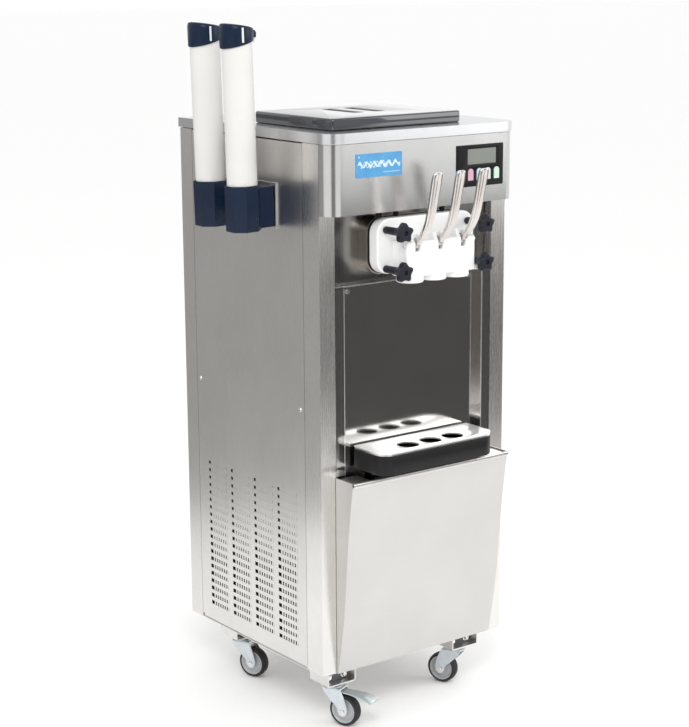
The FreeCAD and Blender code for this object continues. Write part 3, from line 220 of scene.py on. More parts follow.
FINISHES = {
    STEEL: ("left_side_panel", "right_side_panel", "rear_panel", "base_pan",
            "dispenser_rail", "mix_hoppers", "freezing_cylinders", "beater_left",
            "beater_right"),
    POST: ("front_posts",),
    HOOD: ("front_hood",),
    TOP: ("top_cover",),
    DOOR: ("lower_door",),
    PANEL: ("upper_panel",),
    FLANGE: ("cylinder_flange",),
    MIRROR: ("splash_panel",),
    SHINE: ("lever_pivot_pin", "head_studs", "cabinet_screws"),
    WHITE: ("piston_left", "piston_centre", "piston_right"),
    TUBE: ("dispenser_tubes",),
    PAINT: ("chassis_frame", "control_box", "gear_motors"),
    BLACK: ("compressor", "fan_blade", "cable_gland"),
    FINS: ("condenser",),
    COPPER: ("refrigerant_lines",),
}
for finish, names in FINISHES.items():
    for name in names:
        for material_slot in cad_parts[name].material_slots:
            material_slot.material = finish


# ---------------------------------------------------------------- mesh helpers

def piece(name, bm, material, body="cabinet", replaces=(), bevel=0.0, segments=3, smooth=0,
          turn=None):
    """Turn a mesh into a finished piece that rides on a body."""
    bmesh.ops.recalc_face_normals(bm, faces=bm.faces)
    mesh = bpy.data.meshes.new(name)
    bm.to_mesh(mesh)
    bm.free()
    if turn is not None:
        mesh.transform(turn)
    mesh.materials.append(material)
    mesh.polygons.foreach_set("use_smooth", [True] * len(mesh.polygons))
    mesh.set_sharp_from_angle(angle=math.radians(38))
    item = bpy.data.objects.new(name, mesh)
    bpy.context.scene.collection.objects.link(item)
    if bevel:
        rounding = item.modifiers.new("rounding", "BEVEL")
        rounding.width = bevel / 1000
        rounding.segments = segments
        rounding.limit_method = "ANGLE"
        rounding.angle_limit = math.radians(40)
        rounding.harden_normals = True
    if smooth:
        soften = item.modifiers.new("soften", "SUBSURF")
        soften.levels = soften.render_levels = smooth
    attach(item, body)
    if replaces:
        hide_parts(*replaces)


def loft(bm, rings, capped=True, closed=False):
    """Skin a row of equal rings of points."""
    made = [[bm.verts.new(point) for point in ring] for ring in rings]
    pairs = list(zip(made, made[1:])) + ([(made[-1], made[0])] if closed else [])
    for near, far in pairs:
        for index in range(len(near)):
            following = (index + 1) % len(near)
            bm.faces.new((near[index], near[following], far[following], far[index]))
    if capped and not closed:
        bm.faces.new(made[0])
        bm.faces.new(made[-1])


PLANES = {
    "x": lambda a, b, level: at(level, a, b),
    "y": lambda a, b, level: at(a, level, b),
    "z": lambda a, b, level: at(a, b, level),
}


def slab(bm, outline, axis, low, high):
    """An outline extruded along an axis of the cabinet."""
    loft(bm, [[PLANES[axis](a, b, level) for a, b in outline] for level in (low, high)])


def box(bm, x0, x1, y0, y1, z0, z1):
    slab(bm, ((x0, y0), (x1, y0), (x1, y1), (x0, y1)), "z", z0, z1)


def lathe(bm, profile, centre, axis="z", steps=48, closed=False, capped=True):
    """Turn a profile of (radius, height) about an axis through a centre."""
    rings = []
    for radius, height in profile:
        ring = []
        for index in range(steps):
            angle = 2 * math.pi * index / steps
            across, along = radius * math.cos(angle), radius * math.sin(angle)
            offset = {"x": (height, across, along), "y": (across, height, along),
                      "z": (across, along, height)}[axis]
            ring.append(at(centre[0] + offset[0], centre[1] + offset[1], centre[2] + offset[2]))
        rings.append(ring)
    loft(bm, rings, capped, closed)


def rounded(x0, x1, y0, y1, corner, steps=8, corners="1111"):
    """A rectangle with round corners: lower left, lower right, upper right, upper left."""
    points = []
    spots = ((x0 + corner, y0 + corner, 180), (x1 - corner, y0 + corner, 270),
             (x1 - corner, y1 - corner, 0), (x0 + corner, y1 - corner, 90))
    square = ((x0, y0), (x1, y0), (x1, y1), (x0, y1))
    for keep, (cx, cy, start), sharp in zip(corners, spots, square):
        if keep == "0":
            points.append(sharp)
            continue
        for index in range(steps + 1):
            angle = math.radians(start + 90 * index / steps)
            points.append((cx + corner * math.cos(angle), cy + corner * math.sin(angle)))
    return points


def ring_of(cx, cy, radius, steps=40):
    return [(cx + radius * math.cos(2 * math.pi * index / steps),
             cy + radius * math.sin(2 * math.pi * index / steps)) for index in range(steps)]


def pierced(name, outline, holes, axis, low, high, edge):
    """A plate with holes through it and softly rounded edges, as a mesh."""
    curve = bpy.data.curves.new(name, "CURVE")
    curve.dimensions = "2D"
    curve.fill_mode = "BOTH"
    curve.extrude = (high - low) / 2000 - edge / 1000
    curve.bevel_depth = edge / 1000
    curve.bevel_resolution = 2
    curve.offset = -edge / 1000
    for points in (outline, *holes):
        line = curve.splines.new("POLY")
        line.points.add(len(points) - 1)
        for spot, (a, b) in zip(line.points, points):
            spot.co = (a / 1000, b / 1000, 0, 1)
        line.use_cyclic_u = True
    holder = bpy.data.objects.new(name + "_line", curve)
    bpy.context.scene.collection.objects.link(holder)
    graph = bpy.context.evaluated_depsgraph_get()
    mesh = bpy.data.meshes.new_from_object(holder.evaluated_get(graph))
    bpy.data.objects.remove(holder)
    middle = (low + high) / 2
    if axis == "z":
        place = Matrix.Translation(at(0, 0, middle))
    else:
        place = Matrix.Translation(at(0, middle, 0)) @ Matrix.Rotation(math.pi / 2, 4, "X")
    mesh.transform(place)
    bm = bmesh.new()
    bm.from_mesh(mesh)
    bpy.data.meshes.remove(mesh)
    bmesh.ops.remove_doubles(bm, verts=bm.verts, dist=1e-6)
    return bm


# ---------------------------------------------------------------- dispensing head

PLATE = span("dispensing_head")
NAMES = (("left", -1), ("centre", 0), ("right", 1))
PIN = span("lever_pivot_pin")
PIVOT_Y, PIVOT_Z = (PIN[2] + PIN[3]) / 2, (PIN[4] + PIN[5]) / 2
PITCH = (span("piston_right")[0] + span("piston_right")[1]) / 2
OUTLET_Y = (span("piston_centre")[2] + span("piston_centre")[3]) / 2
PLATE_HEIGHT, PLATE_CORNER = 124, 34
PLATE_FRONT, PLATE_BACK = PLATE[3] - 34, PLATE[3] - 3
SEAL_LAP = 1.2
BLOCK_HALF, BLOCK_LOW, BLOCK_HIGH = 99, 1062, 1141
BLOCK_FRONT, BLOCK_BACK = -92, -38
FORK_HALF, FORK_FLOOR = 6.5, 1118
CHEEK_IN, CHEEK_OUT = 8, 17


def head_block(bm):
    """The block in front of the plate: its front half is slotted for the three levers."""
    comb = [(-BLOCK_HALF, BLOCK_LOW), (BLOCK_HALF, BLOCK_LOW), (BLOCK_HALF, BLOCK_HIGH)]
    for _, side in reversed(NAMES):
        near, far = side * PITCH - FORK_HALF, side * PITCH + FORK_HALF
        comb += [(far, BLOCK_HIGH), (far, FORK_FLOOR), (near, FORK_FLOOR), (near, BLOCK_HIGH)]
    comb.append((-BLOCK_HALF, BLOCK_HIGH))
    slab(bm, comb, "y", BLOCK_FRONT, OUTLET_Y + 2)
    solid = ((-BLOCK_HALF, BLOCK_LOW), (BLOCK_HALF, BLOCK_LOW), (BLOCK_HALF, BLOCK_HIGH),
             (-BLOCK_HALF, BLOCK_HIGH))
    slab(bm, solid, "y", OUTLET_Y, BLOCK_BACK)


bm = bmesh.new()
slab(bm, rounded(PLATE[0], PLATE[1], PLATE[5] - PLATE_HEIGHT, PLATE[5], PLATE_CORNER), "y", PLATE_FRONT,
     PLATE_BACK)
head_block(bm)
piece("head_moulding", bm, WHITE, replaces=["dispensing_head"], bevel=3.5, segments=4)

bm = bmesh.new()
for _, side in NAMES:
    x = side * PITCH
    lathe(bm, [(14.4, 1077), (14.4, 1052), (17, 1048.6), (20, 1048), (28.5, 1048), (30.3, 1049), (31, 1051),
               (31, 1092), (29, 1094)], (x, OUTLET_Y, 0), steps=56, capped=False)
    for flank in (-1, 1):
        slab(bm, ((-91, 1139), (-62, 1139), (-66, 1146), (-76, 1157), (-81, 1157)), "x",
             x + flank * CHEEK_IN, x + flank * CHEEK_OUT)
piece("head_outlets", bm, WHITE, bevel=1.6)

bm = bmesh.new()
slab(bm, rounded(PLATE[0] - SEAL_LAP, PLATE[1] + SEAL_LAP, PLATE[5] - PLATE_HEIGHT - SEAL_LAP,
                 PLATE[5] + SEAL_LAP, PLATE_CORNER + 1), "y", PLATE_BACK, PLATE[3] - 0.1)
for x, radius in ((-122, 7), (-74, 6), (60, 6)):
    lathe(bm, [(radius * 0.7, 1203.5), (radius, 1202), (radius, 1194), (radius * 0.8, 1191.5)], (x, -22, 0),
          steps=24)
piece("head_seal", bm, DARK_AND_PAINTED_SHADE, bevel=0.5)


# ---------------------------------------------------------------- levers

# Along each lever: depth, height, width, thickness, and how far its front is hollowed.
STATIONS = ((-66, 1133, 8, 4, 0), (-74, 1133, 8, 5, 0), (-84, 1133, 10, 12, 0), (-94, 1141, 11, 12, 0),
            (-103, 1151, 14, 11, 0.2), (-116, 1166, 19.5, 10, 0.8), (-127, 1183, 21.5, 9.5, 1),
            (-135.5, 1207, 22.5, 9.5, 1), (-143, 1236, 24, 9.5, 1), (-149.5, 1264, 25.5, 9.5, 1),
            (-155, 1287, 26.5, 9.5, 0.9), (-157.6, 1296, 24, 8.5, 0.4), (-158.4, 1299, 17, 6, 0))
# A lever's section, in half widths and thicknesses: a hollow with a rib down its middle.
SECTION = ((-1, -0.3), (-0.86, -0.5), (0, -0.5), (0.86, -0.5), (1, -0.3), (1, 0.3), (0.86, 0.5),
           (0.62, 0.5), (0.46, 0.0), (0.2, -0.08), (0.09, 0.3), (-0.09, 0.3), (-0.2, -0.08), (-0.46, 0.0),
           (-0.62, 0.5), (-0.86, 0.5), (-1, 0.3))
for name, side in NAMES:
    bm = bmesh.new()
    rings = []
    for index, (y, z, wide, thick, hollow) in enumerate(STATIONS):
        before, after = STATIONS[max(0, index - 1)], STATIONS[min(len(STATIONS) - 1, index + 1)]
        along = Vector((after[0] - before[0], after[1] - before[1])).normalized()
        outward = Vector((-along.y, along.x))
        ring = []
        for across, depth in SECTION:
            depth = 0.5 + (depth - 0.5) * hollow if across * across < 0.3 and depth > -0.4 else depth
            ring.append(at(side * PITCH + across * wide / 2, y + outward.x * depth * thick,
                           z + outward.y * depth * thick))
        rings.append(ring)
    loft(bm, rings)
    lathe(bm, [(5.2, -5.2), (7.4, -5.4), (7.4, 5.4), (5.2, 5.2)], (side * PITCH, PIVOT_Y, PIVOT_Z), "x", 32)
    piece(f"lever_{name}_casting", bm, CAST, f"lever_{name}_body", [f"lever_{name}"], smooth=1)


# ---------------------------------------------------------------- star knobs

STUDS = span("head_studs")
KNOB_STEPS = 60
HEX_HALF, SOCKET_HALF, STEM_RADIUS = 5.6, 5.5, 9.5


def lobed(angle, scale):
    turned = angle - math.pi / 2
    return (19.6 + 3.1 * math.cos(5 * turned) + 0.3 * math.cos(10 * turned)) * scale


def six_sided(angle, half):
    return half / math.cos((angle + math.pi / 6) % (math.pi / 3) - math.pi / 6)


def knob_reach(angle, shape):
    """How far a knob's outline stands from its axis: a hexagon, the round stem, or scaled lobes."""
    if shape == "hex":
        return six_sided(angle, HEX_HALF)
    if shape == "stem":
        return STEM_RADIUS
    return lobed(angle, shape)


def knob_outline(middle, level, reach, *measure):
    points = []
    for index in range(KNOB_STEPS):
        angle = 2 * math.pi * index / KNOB_STEPS
        distance = reach(angle, *measure)
        points.append((middle + distance * math.cos(angle), level + distance * math.sin(angle)))
    return points


def star_knob(label, level):
    """A five-lobed grip on a long stem, with a hexagonal socket in its face."""
    x0, x1, y0, y1, _, _ = span(label)
    middle = (x0 + x1) / 2
    bm = bmesh.new()
    rings = []
    for back, shape in ((7.5, "hex"), (0.4, "hex"), (0, 0.62), (0.2, 0.86), (1.2, 0.94), (3.2, 1), (14, 1),
                        (16.8, 0.95), (18, 0.84), (18.6, "stem")):
        rings.append([at(a, y0 + back, b) for a, b in knob_outline(middle, level, knob_reach, shape)])
    loft(bm, rings)
    lathe(bm, [(9.2, y0 + 17), (9, y0 + 24), (8.6, y1 - 12), (8.6, y1 - 3), (7.8, y1 - 0.6)],
          (middle, 0, level), "y", 36)
    piece(label + "_grip", bm, KNOB, label + "_body", [label])
    bm = bmesh.new()
    slab(bm, knob_outline(middle, level, six_sided, SOCKET_HALF), "y", y0 + 3.2, y0 + 7.4)
    piece(label + "_socket", bm, DARK_AND_PAINTED_SHADE, label + "_body")


for height, level in (("lower", STUDS[4] + 4), ("upper", STUDS[5] - 4)):
    for across in ("left", "right"):
        star_knob(f"star_knob_{height}_{across}", level)


# ---------------------------------------------------------------- hood: label, display and keys

HOOD_FRONT = span("front_hood")[2]
bm = bmesh.new()
slab(bm, rounded(-200, -71, 1285, 1337, 1.5), "y", HOOD_FRONT - 0.8, HOOD_FRONT - 0.02)
piece("label_plate", bm, BLUE, bevel=0.3)

bm = bmesh.new()
for row, (level, left, right, height, swing) in enumerate(((1313, -194, -77, 9, 4.5),
                                                           (1313, -186, -84, 3.4, -6.5),
                                                           (1294.5, -124, -78, 1.6, 0.8))):
    upper, lower = [], []
    for step in range(61):
        x = left + (right - left) * step / 60
        middle = level + swing * math.sin(step * 0.62 + row)
        thick = height * (0.35 + 0.65 * abs(math.sin(step * 0.45 + row)))
        upper.append((x, middle + thick / 2))
        lower.append((x, middle - thick / 2))
    slab(bm, upper + lower[::-1], "y", HOOD_FRONT - 1.0 - row * 0.1, HOOD_FRONT - 0.75)
lathe(bm, [(2, HOOD_FRONT - 1), (2, HOOD_FRONT - 0.7)], (-191, 0, 1330), "y", 20)
piece("label_pattern", bm, MARK)

X0, X1, Y0, Y1, Z0, Z1 = span("display_module")
SCREEN_BOX = (X0 + 31, X0 + 117, Z0 + 50.5, Z0 + 85.5)
KEYS = [span(f"key_{index}") for index in range(1, 5)]


def arch(x0, x1, z0, z1):
    return rounded(x0, x1, z0, z1, (x1 - x0) * 0.46, 8, "0011")


holes = [rounded(*SCREEN_BOX, 1.5)] + [arch(k[0] - 0.6, k[1] + 0.6, k[4] - 0.6, k[5] + 0.6) for k in KEYS]
piece("display_bezel", pierced("bezel", rounded(X0, X1, Z0, Z1, 2.5), holes, "y", Y0, Y0 + 3.4, 0.5), BLACK,
      replaces=["display_module"])
bm = bmesh.new()
box(bm, X0 + 9, X1 - 9, Y0 + 3.3, Y1, Z0 + 9, Z1 - 9)
piece("display_case", bm, DARK_AND_PAINTED_SHADE, bevel=1)
bm = bmesh.new()
slab(bm, rounded(SCREEN_BOX[0] - 1, SCREEN_BOX[1] + 1, SCREEN_BOX[2] - 1, SCREEN_BOX[3] + 1, 1), "y",
     Y0 + 1.2, Y0 + 3.3)
piece("display_screen", bm, SCREEN, bevel=0.2)
TINTS = ((PINK, "key_pink"), (SKY, "key_blue"), (PALE, "key_grey"), (GREEN, "key_green"))
for index, (key, (finish, tint)) in enumerate(zip(KEYS, TINTS), start=1):
    bm = bmesh.new()
    slab(bm, arch(key[0], key[1], key[4], key[5]), "y", key[2], key[3])
    piece(f"key_{index}_cap", bm, finish, f"key_{index}_body", [f"key_{index}"], bevel=1.2)


# ---------------------------------------------------------------- side vents

VENT_COLUMNS, VENT_ROWS = 4, 20
VENT_FRONT, VENT_LOW = 95.5, 187
VENT_PITCH_Y, VENT_PITCH_Z = 97.3, 19
VENT_LENGTH, VENT_HEIGHT = 77, 10
FIN_COUNT, FIN_PITCH = 7, 9.8
FIN_THIN, FIN_GROWTH = 5.4, 4.4
LIP_GROWTH = 1.6
SHADE_LOW, SHADE_HIGH = 182, 563


def vent_louvres(name, face, way):
    """Fins stand in each vent slot; its rear end stays open, and the fins close up with height."""
    fins, shade = bmesh.new(), bmesh.new()
    for column in range(VENT_COLUMNS):
        front = VENT_FRONT + column * VENT_PITCH_Y
        for row in range(VENT_ROWS):
            low = VENT_LOW + row * VENT_PITCH_Z
            closed = min(1.0, max(0.0, (row - 6 - (3 - column)) / 8))
            thick = FIN_THIN + FIN_GROWTH * closed
            high = low + VENT_HEIGHT - LIP_GROWTH * closed
            for index in range(FIN_COUNT):
                y = front + 1.2 + index * FIN_PITCH
                box(fins, face + way * 0.3, face + way * 2.6, y, y + thick, low + 0.05, high - 0.05)
            box(fins, face + way * 0.2, face + way * 1.4, front, front + VENT_LENGTH, high - 0.8,
                low + VENT_HEIGHT)
        # A dark sheet behind each column of slots: painted shade for the cabinet's inside seen through the
        # vents.
        box(shade, face + way * 4, face + way * 5, front - 3, front + VENT_LENGTH + 3, SHADE_LOW,
            SHADE_HIGH)
    piece(name + "_fins", fins, STEEL)
    piece(name + "_shade", shade, DARK_AND_PAINTED_SHADE)


vent_louvres("left_vent", span("left_side_panel")[0], 1)
vent_louvres("right_vent", span("right_side_panel")[1], -1)


# ---------------------------------------------------------------- drip tray and its cover

TX0, TX1, TY0, TY1, TZ0, TZ1 = span("drip_tray")


def tray_outline(inset, corner=34):
    return rounded(TX0 + inset, TX1 - inset, TY0 + inset, TY1 - inset, corner - inset, 12, "1100")


bm = bmesh.new()
rings = []
for inset, level in ((5, TZ0), (1.5, TZ0 + 1), (0, TZ0 + 4), (0, TZ1 - 1), (0.6, TZ1), (2.4, TZ1),
                     (3, TZ1 - 1), (3, TZ0 + 4), (5, TZ0 + 3)):
    rings.append([at(a, b, level) for a, b in tray_outline(inset)])
loft(bm, rings)
piece("drip_tray_moulding", bm, BLACK, "drip_tray_body", ["drip_tray"])

DZ0, DZ1 = span("drip_cover")[4:]
HOLE_Y, HOLE_RADIUS = -56, 25.5
holes = [ring_of(side * PITCH, HOLE_Y, HOLE_RADIUS, 56) for _, side in NAMES]
piece("drip_cover_plate", pierced("cover", tray_outline(0), holes, "z", DZ1 - 4.5, DZ1, 1.1), DRIP,
      "drip_cover_body", ["drip_cover"])
bm = bmesh.new()
rings = [[at(a, b, level) for a, b in tray_outline(inset)]
         for inset, level in ((1.2, DZ1 - 4), (0.8, DZ0 + 0.2), (2.6, DZ0 + 0.2), (2.8, DZ1 - 4))]
loft(bm, rings, closed=True)
piece("drip_cover_skirt", bm, STEEL, "drip_cover_body")


# ---------------------------------------------------------------- hopper lid

LX0, LX1, LY0, LY1, LZ0, LZ1 = span("hopper_lid")
CENTRE = (LX0 + LX1) / 2
SLOT_OUT, SLOT_HALF, SLOT_FRONT, SLOT_BACK = 31, 12, LY0 + 104, LY0 + 228
SLOT_MIDDLES = (CENTRE - SLOT_OUT, CENTRE + SLOT_OUT)
slots = [rounded(x - SLOT_HALF, x + SLOT_HALF, SLOT_FRONT, SLOT_BACK, 6) for x in SLOT_MIDDLES]
piece("lid_moulding_top", pierced("lid", rounded(LX0, LX1, LY0, LY1, 9), slots, "z", LZ0 + 0.3, LZ1, 4.5),
      LID, "hopper_lid_body", ["hopper_lid"])
# A dark slab under the finger slots: painted shade for the hollow seen through them.
bm = bmesh.new()
box(bm, CENTRE - 50, CENTRE + 50, SLOT_FRONT - 6, SLOT_BACK + 6, LZ1 - 17, LZ1 - 13)
piece("lid_slot_painted_shade", bm, DARK_AND_PAINTED_SHADE, "hopper_lid_body", bevel=1)


# ---------------------------------------------------------------- door rim

DOOR_BOX = span("lower_door")
RIM = DOOR_BOX[5]
bm = bmesh.new()
slab(bm, ((-63, RIM - 0.2), (-66.5, RIM), (-68.9, RIM - 1.2), (-69.6, RIM - 3.5), (-68.9, RIM - 9.5),
          (-65.6, RIM - 11), (-63, RIM - 9)), "x", DOOR_BOX[0], DOOR_BOX[1])
piece("door_rim_fold", bm, STEEL, bevel=0.6)


# ---------------------------------------------------------------- folded edges of the sheets

SPLASH = span("splash_panel")
WING_IN, WING_OUT, WING_LOW = 201.4, 203.6, 612
SHELF_IN, SHELF_OUT = 171, 225
COVER_CORNER = 43
bm = bmesh.new()
for side in (-1, 1):
    box(bm, side * WING_OUT, side * WING_IN, -0.4, 2.4, WING_LOW, SPLASH[5] - 1)
box(bm, SPLASH[0] + 1, SPLASH[1] - 1, 3.2, 5.4, SPLASH[5] + 1, SPLASH[5] + 3.4)
piece("splash_edges", bm, SHINE, bevel=0.4)
bm = bmesh.new()
for side in (-1, 1):
    box(bm, side * SHELF_IN, side * SHELF_OUT, -60, -1, 602.5, 605)
piece("shelf_ends", bm, STEEL, bevel=0.4)

COVER = span("top_cover")
bm = bmesh.new()
rings = []
for inset, level in ((0.6, COVER[4] + 0.6), (1.2, COVER[4] - 0.9), (3.4, COVER[4] - 0.9),
                     (3.4, COVER[4] + 0.6)):
    line = rounded(COVER[0] + inset, COVER[1] - inset, COVER[2] + inset, COVER[2] + 200,
                   COVER_CORNER - inset, 14, "1100")
    rings.append([at(a, b, level) for a, b in line])
loft(bm, rings, closed=True)
piece("cover_hem", bm, TOP)


# ---------------------------------------------------------------- castors

HEADINGS = {"front_left": 23, "front_right": 203, "rear_left": 23, "rear_right": 203}
TRAIL, AXLE_HEIGHT = 34, 37.5
AXLE = (0, -TRAIL, AXLE_HEIGHT)
LEG = ((19, 92), (20, 88), (15, 80), (6, 70), (-4, 60), (-14, 51), (-20, 44), (-22, 36), (-26, 28),
       (-33, 25), (-40, 26), (-46, 32), (-47.5, 42), (-44, 58), (-38, 74), (-31, 88), (-28, 92))


def swivel(name):
    """Where a castor's swivel stands, and the angle it is turned to."""
    x0, x1, y0, y1, _, _ = span("castor_wheel_" + name)
    angle = math.radians(HEADINGS[name])
    return (x0 + x1) / 2 - TRAIL * math.sin(angle), (y0 + y1) / 2 + TRAIL * math.cos(angle), angle


def castor(name):
    """A stamped fork with its race, axle nuts, tyre and hub, built at the swivel and then turned."""
    x, y, angle = swivel(name)
    turn = (Matrix.Translation(at(x, y, 0)) @ Matrix.Rotation(angle, 4, "Z")
            @ Matrix.Translation(-at(0, 0, 0)))
    fork, rides = f"castor_fork_{name}", f"castor_fork_{name}_body"
    bm = bmesh.new()
    for side in (-1, 1):
        slab(bm, LEG, "x", side * 15, side * 17.5)
    slab(bm, ((19, 88), (19, 92), (-29, 92), (-30, 88)), "x", -17.5, 17.5)
    lathe(bm, [(8, 95.4), (17, 95.4), (21, 94.6), (23.5, 92.5), (24, 90.5), (21, 89)], (0, 0, 0), steps=48)
    piece(fork + "_stamping", bm, ZINC, rides, [fork], bevel=0.8, turn=turn)
    bm = bmesh.new()
    for side in (-1, 1):
        lathe(bm, [(0.5, side * 21.6), (4.6, side * 21.6), (6.2, side * 20.8), (6.4, side * 17.4)], AXLE,
              "x", 6)
        lathe(bm, [(8.2, side * 17.3), (8.2, side * 18.3), (4, side * 18.4)], AXLE, "x", 32)
    piece(fork + "_nuts", bm, SHINE, rides, turn=turn)
    wheel, rolls = f"castor_wheel_{name}", f"castor_wheel_{name}_body"
    bm = bmesh.new()
    lathe(bm, [(29.5, -11.5), (31, -12.8), (34.5, -12.2), (36.7, -9), (37.5, -3.5), (37.5, 3.5), (36.7, 9),
               (34.5, 12.2), (31, 12.8), (29.5, 11.5)], AXLE, "x", 72, closed=True)
    piece(wheel + "_tyre", bm, RUBBER, rolls, [wheel], turn=turn)
    bm = bmesh.new()
    lathe(bm, [(5, -12.6), (10, -12.8), (11.5, -11), (13, -8.5), (24, -7.5), (26.5, -10.5), (29, -12),
               (30.2, -11.6), (30.2, 11.6), (29, 12), (26.5, 10.5), (24, 7.5), (13, 8.5), (11.5, 11),
               (10, 12.8), (5, 12.6)], AXLE, "x", 72)
    piece(wheel + "_hub", bm, HUB, rolls, turn=turn)
    return turn


TURNS = {name: castor(name) for name in HEADINGS}


def pedal_row(steps, y, z, half, lift):
    """A row of points across the brake pedal, drawn out and raised towards its ends."""
    return [at(half * k / 6, y - 7 * (k / 6) ** 2 * min(1, lift / 4), z + lift * (k / 6) ** 2)
            for k in steps]


bm = bmesh.new()
rings = []
for y, z, half, lift in ((-22, 85.2, 13, 0), (-34, 84.8, 13.5, 0), (-56, 84, 15.5, 0.4), (-76, 81, 19, 1.4),
                         (-92, 76, 22, 3), (-101, 71, 23.5, 4.5), (-104, 67.5, 23, 5)):
    top = pedal_row(range(-6, 7), y, z, half, lift)
    under = pedal_row(range(6, -7, -1), y + 0.6, z - 2.4, half, lift)
    rings.append(top + under)
loft(bm, rings)
lathe(bm, [(2.5, -13.6), (5, -13.4), (5, 13.4), (2.5, 13.6)], (0, -24, 81), "x", 28)
piece("brake_pedal_plate", bm, ZINC, "brake_pedal_body", ["brake_pedal"], bevel=0.5,
      turn=TURNS["front_left"])

bm, bolts, backs = bmesh.new(), bmesh.new(), bmesh.new()
for name in HEADINGS:
    x, y, _ = swivel(name)
    outer, inner = rounded(x - 40, x + 40, 105, 140, 3, 4), rounded(x - 37, x + 37, 108, 137, 1.5, 4)
    rings = [[at(a, level, b) for a, b in line] for line, level in
             ((outer, y - 36), (inner, y - 36), (inner, y + 36), (outer, y + 36))]
    loft(bm, rings, closed=True)
    box(backs, x - 37.5, x + 37.5, y - 12, y - 9, 107, 138)
    slab(bm, rounded(x - 34, x + 34, y - 32, y + 32, 6, 5), "z", 102, 104.9)
    lathe(bm, [(6.2, 96), (21, 96.2), (24, 98.2), (24, 101), (20, 103)], (x, y, 0), steps=48)
    for side in (-1, 1):
        lathe(bolts, [(0.5, y - 19.5), (5.2, y - 19), (6.4, y - 17.5), (6.4, y - 11)],
              (x + side * 22, 0, 120), "y", 6)
        lathe(bolts, [(9, y - 13.4), (9, y - 11.8)], (x + side * 22, 0, 120), "y", 28)
piece("castor_risers", bm, STEEL, replaces=["castor_mounts"], bevel=0.4)
piece("castor_riser_bolts", bolts, SHINE)
piece("castor_riser_backs", backs, PAINT)


# ---------------------------------------------------------------- cone dispensers

LEAN = math.radians(1.5)
HOLDERS = span("dispenser_holders")
TUBE_X = -345
HOLDER_HALF = CAP_RADIUS = 37.5
CAP_SKIRT, CAP_SKIRT_RISE = 402, 18
CAP_CROWN, CAP_CROWN_FALL = 458, 13.5
GUIDE_ANGLE = math.radians(-101)


def dispenser_holder(name, tilt):
    """An eight-sided socket open at its top, with a block that reaches across to the rail."""
    bm = bmesh.new()
    half = HOLDER_HALF
    corner = half * math.tan(math.radians(22.5))
    octagon = ((half, corner), (corner, half), (-corner, half), (-half, corner), (-half, -corner),
               (-corner, -half), (corner, -half), (half, -corner))
    wall = ((0.80, 0.4), (0.96, 0.4), (1, 2.5), (1, 101), (0.975, 103), (0.93, 103), (0.925, 6), (0.8, 5))
    rings = [[at(a * scale, b * scale, level) for a, b in octagon] for scale, level in wall]
    loft(bm, rings, closed=True)
    box(bm, 33, 70.6, -19.5, 19.5, 4, 95)
    piece(f"dispenser_holder_{name}", bm, NAVY, replaces=["dispenser_holders"],
          bevel=0.9, turn=tilt)


def cap_ring(radius, height):
    """A level ring of the cap, part of the way up from its slanting skirt to its slanting crown."""
    ring = []
    for index in range(64):
        angle = 2 * math.pi * index / 64
        a, b = math.cos(angle), math.sin(angle)
        bottom = CAP_SKIRT + (CAP_RADIUS + CAP_RADIUS * a) * CAP_SKIRT_RISE / (2 * CAP_RADIUS)
        top = CAP_CROWN - (CAP_RADIUS + radius * a) * CAP_CROWN_FALL / (2 * CAP_RADIUS)
        ring.append(at(radius * a, radius * b, bottom + (top - bottom) * height))
    return ring


def dispenser_cap(name, tilt):
    """The slanting cap with its hinge ears and pin, and the pale guide on its skirt."""
    body = f"dispenser_cap_{name}_body"
    bm = bmesh.new()
    loft(bm, [cap_ring(radius, height) for radius, height in
              ((34.6, 0.06), (37.0, 0), (37.5, 0.04), (37.5, 0.80), (36.6, 0.91), (34.4, 0.97), (30, 1.0))])
    for low, high in ((-9.3, -4.3), (4.3, 9.3)):
        slab(bm, ((33, 423), (45.5, 423), (46, 434), (42, 439), (33, 442)), "y", low, high)
    lathe(bm, [(1.9, -10.4), (2.6, -10), (2.6, 10), (1.9, 10.4)], (42, 0, 426), "y", 20)
    piece(f"dispenser_cap_{name}_shell", bm, NAVY, body, [f"dispenser_cap_{name}"],
          turn=tilt)
    bm = bmesh.new()
    across, along = math.cos(GUIDE_ANGLE), math.sin(GUIDE_ANGLE)
    strip = ((37.3, -2.4), (37.9, -2.2), (37.9, 2.2), (37.3, 2.4))
    loft(bm, [[at(reach * across - offset * along, reach * along + offset * across, level)
               for reach, offset in strip] for level in (415, 447)])
    piece(f"dispenser_cap_{name}_guide", bm, TUBE, body, turn=tilt)


for name, y in (("front", 180), ("rear", 308)):
    tilt = (Matrix.Translation(at(TUBE_X, y, HOLDERS[4] + 1)) @ Matrix.Rotation(-LEAN, 4, "Y")
            @ Matrix.Translation(-at(0, 0, 0)))
    dispenser_holder(name, tilt)
    dispenser_cap(name, tilt)


# ---------------------------------------------------------------- floor, light and camera

def stage_plane(name, centre, across, up, material, glossy_only=False):
    mesh = bpy.data.meshes.new(name)
    corners = [centre - across - up, centre + across - up, centre + across + up, centre - across + up]
    mesh.from_pydata(corners, [], [(0, 1, 2, 3)])
    mesh.materials.append(material)
    item = bpy.data.objects.new(name, mesh)
    bpy.context.scene.collection.objects.link(item)
    if glossy_only:
        item.visible_camera = item.visible_diffuse = item.visible_shadow = item.visible_transmission = False


FLOOR = surface("pale_floor", (0.985, 0.985, 0.983), (0.98, 0.98, 0.978), 0, 0.7, 0.05, 40, 0.01,
                speckle=0.01, shine=0.1)
stage_plane("floor", Vector((0, 0, 0)), Vector((60, 0, 0)), Vector((0, 60, 0)), FLOOR)


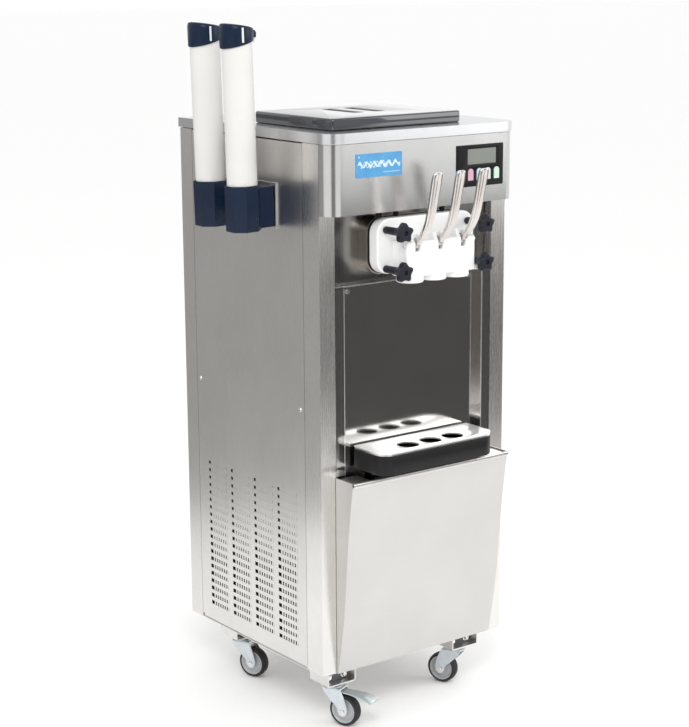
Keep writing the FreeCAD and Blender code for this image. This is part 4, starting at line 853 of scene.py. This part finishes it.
def card(name, tone, centre, facing, width, height):
    """A glowing grey card, no lamp, that shows only in reflections: a painted reflection, placed to shade
    the steel seen by the camera.
    """
    mat = bpy.data.materials.new(name)
    mat.use_nodes = True
    nodes = mat.node_tree.nodes
    nodes.clear()
    glow = nodes.new("ShaderNodeEmission")
    glow.inputs["Color"].default_value = (*tone, 1)
    mat.node_tree.links.new(glow.outputs[0], nodes.new("ShaderNodeOutputMaterial").inputs[0])
    across = Vector((-facing.y, facing.x, 0)).normalized() * width / 2
    stage_plane(name, centre, across, Vector((0, 0, height / 2)), mat, True)


card("card_recess", (0.10, 0.098, 0.095), Vector((1.25, -1.95, 0.48)), Vector((0.587, -0.78, 0)), 2.4, 0.94)
card("card_front", (0.22, 0.215, 0.21), Vector((-1.88, -2.5, 0.85)), Vector((0.587, 0.78, 0)), 1.3, 1.7)
card("card_left", (0.38, 0.375, 0.37), Vector((-1.18, 1.15, 0.73)), Vector((0.587, -0.78, 0)), 3.0, 1.44)

world = bpy.data.worlds.new("studio")
bpy.context.scene.world = world
world.use_nodes = True
background = world.node_tree.nodes["Background"]
background.inputs["Color"].default_value = (1, 1, 1, 1)
background.inputs["Strength"].default_value = 1.0


def area_light(name, place, target, power, size):
    lamp = bpy.data.lights.new(name, "AREA")
    lamp.energy = power
    lamp.size = size
    item = bpy.data.objects.new(name, lamp)
    item.location = place
    item.rotation_mode = "QUATERNION"
    item.rotation_quaternion = (Vector(target) - Vector(place)).to_track_quat("-Z", "Y")
    bpy.context.scene.collection.objects.link(item)


area_light("key", (-2.2, -2.6, 3.4), (0, 0, 0.8), 60, 1.6)
area_light("fill", (2.8, -2.4, 2.2), (0, 0, 0.7), 35, 2.0)

EYE = (-2573, -3150, 1740)
YAW, PITCH_DOWN, ROLL = math.radians(36.96), math.radians(12.46), math.radians(-0.35)
camera = bpy.data.cameras.new("camera")
camera.lens = 89.63
camera.sensor_width = 36
camera.clip_end = 200
eye = bpy.data.objects.new("camera", camera)
forward = Vector((math.sin(YAW) * math.cos(PITCH_DOWN), math.cos(YAW) * math.cos(PITCH_DOWN),
                  -math.sin(PITCH_DOWN)))
level_right = Vector((math.cos(YAW), -math.sin(YAW), 0))
level_up = level_right.cross(forward)
right = math.cos(ROLL) * level_right + math.sin(ROLL) * level_up
up = math.cos(ROLL) * level_up - math.sin(ROLL) * level_right
basis = Matrix((right, up, -forward)).transposed()
eye.matrix_world = Matrix.Translation(at(*EYE)) @ basis.to_4x4()
bpy.context.scene.collection.objects.link(eye)
bpy.context.scene.camera = eye
bpy.context.scene.view_settings.view_transform = "Standard"
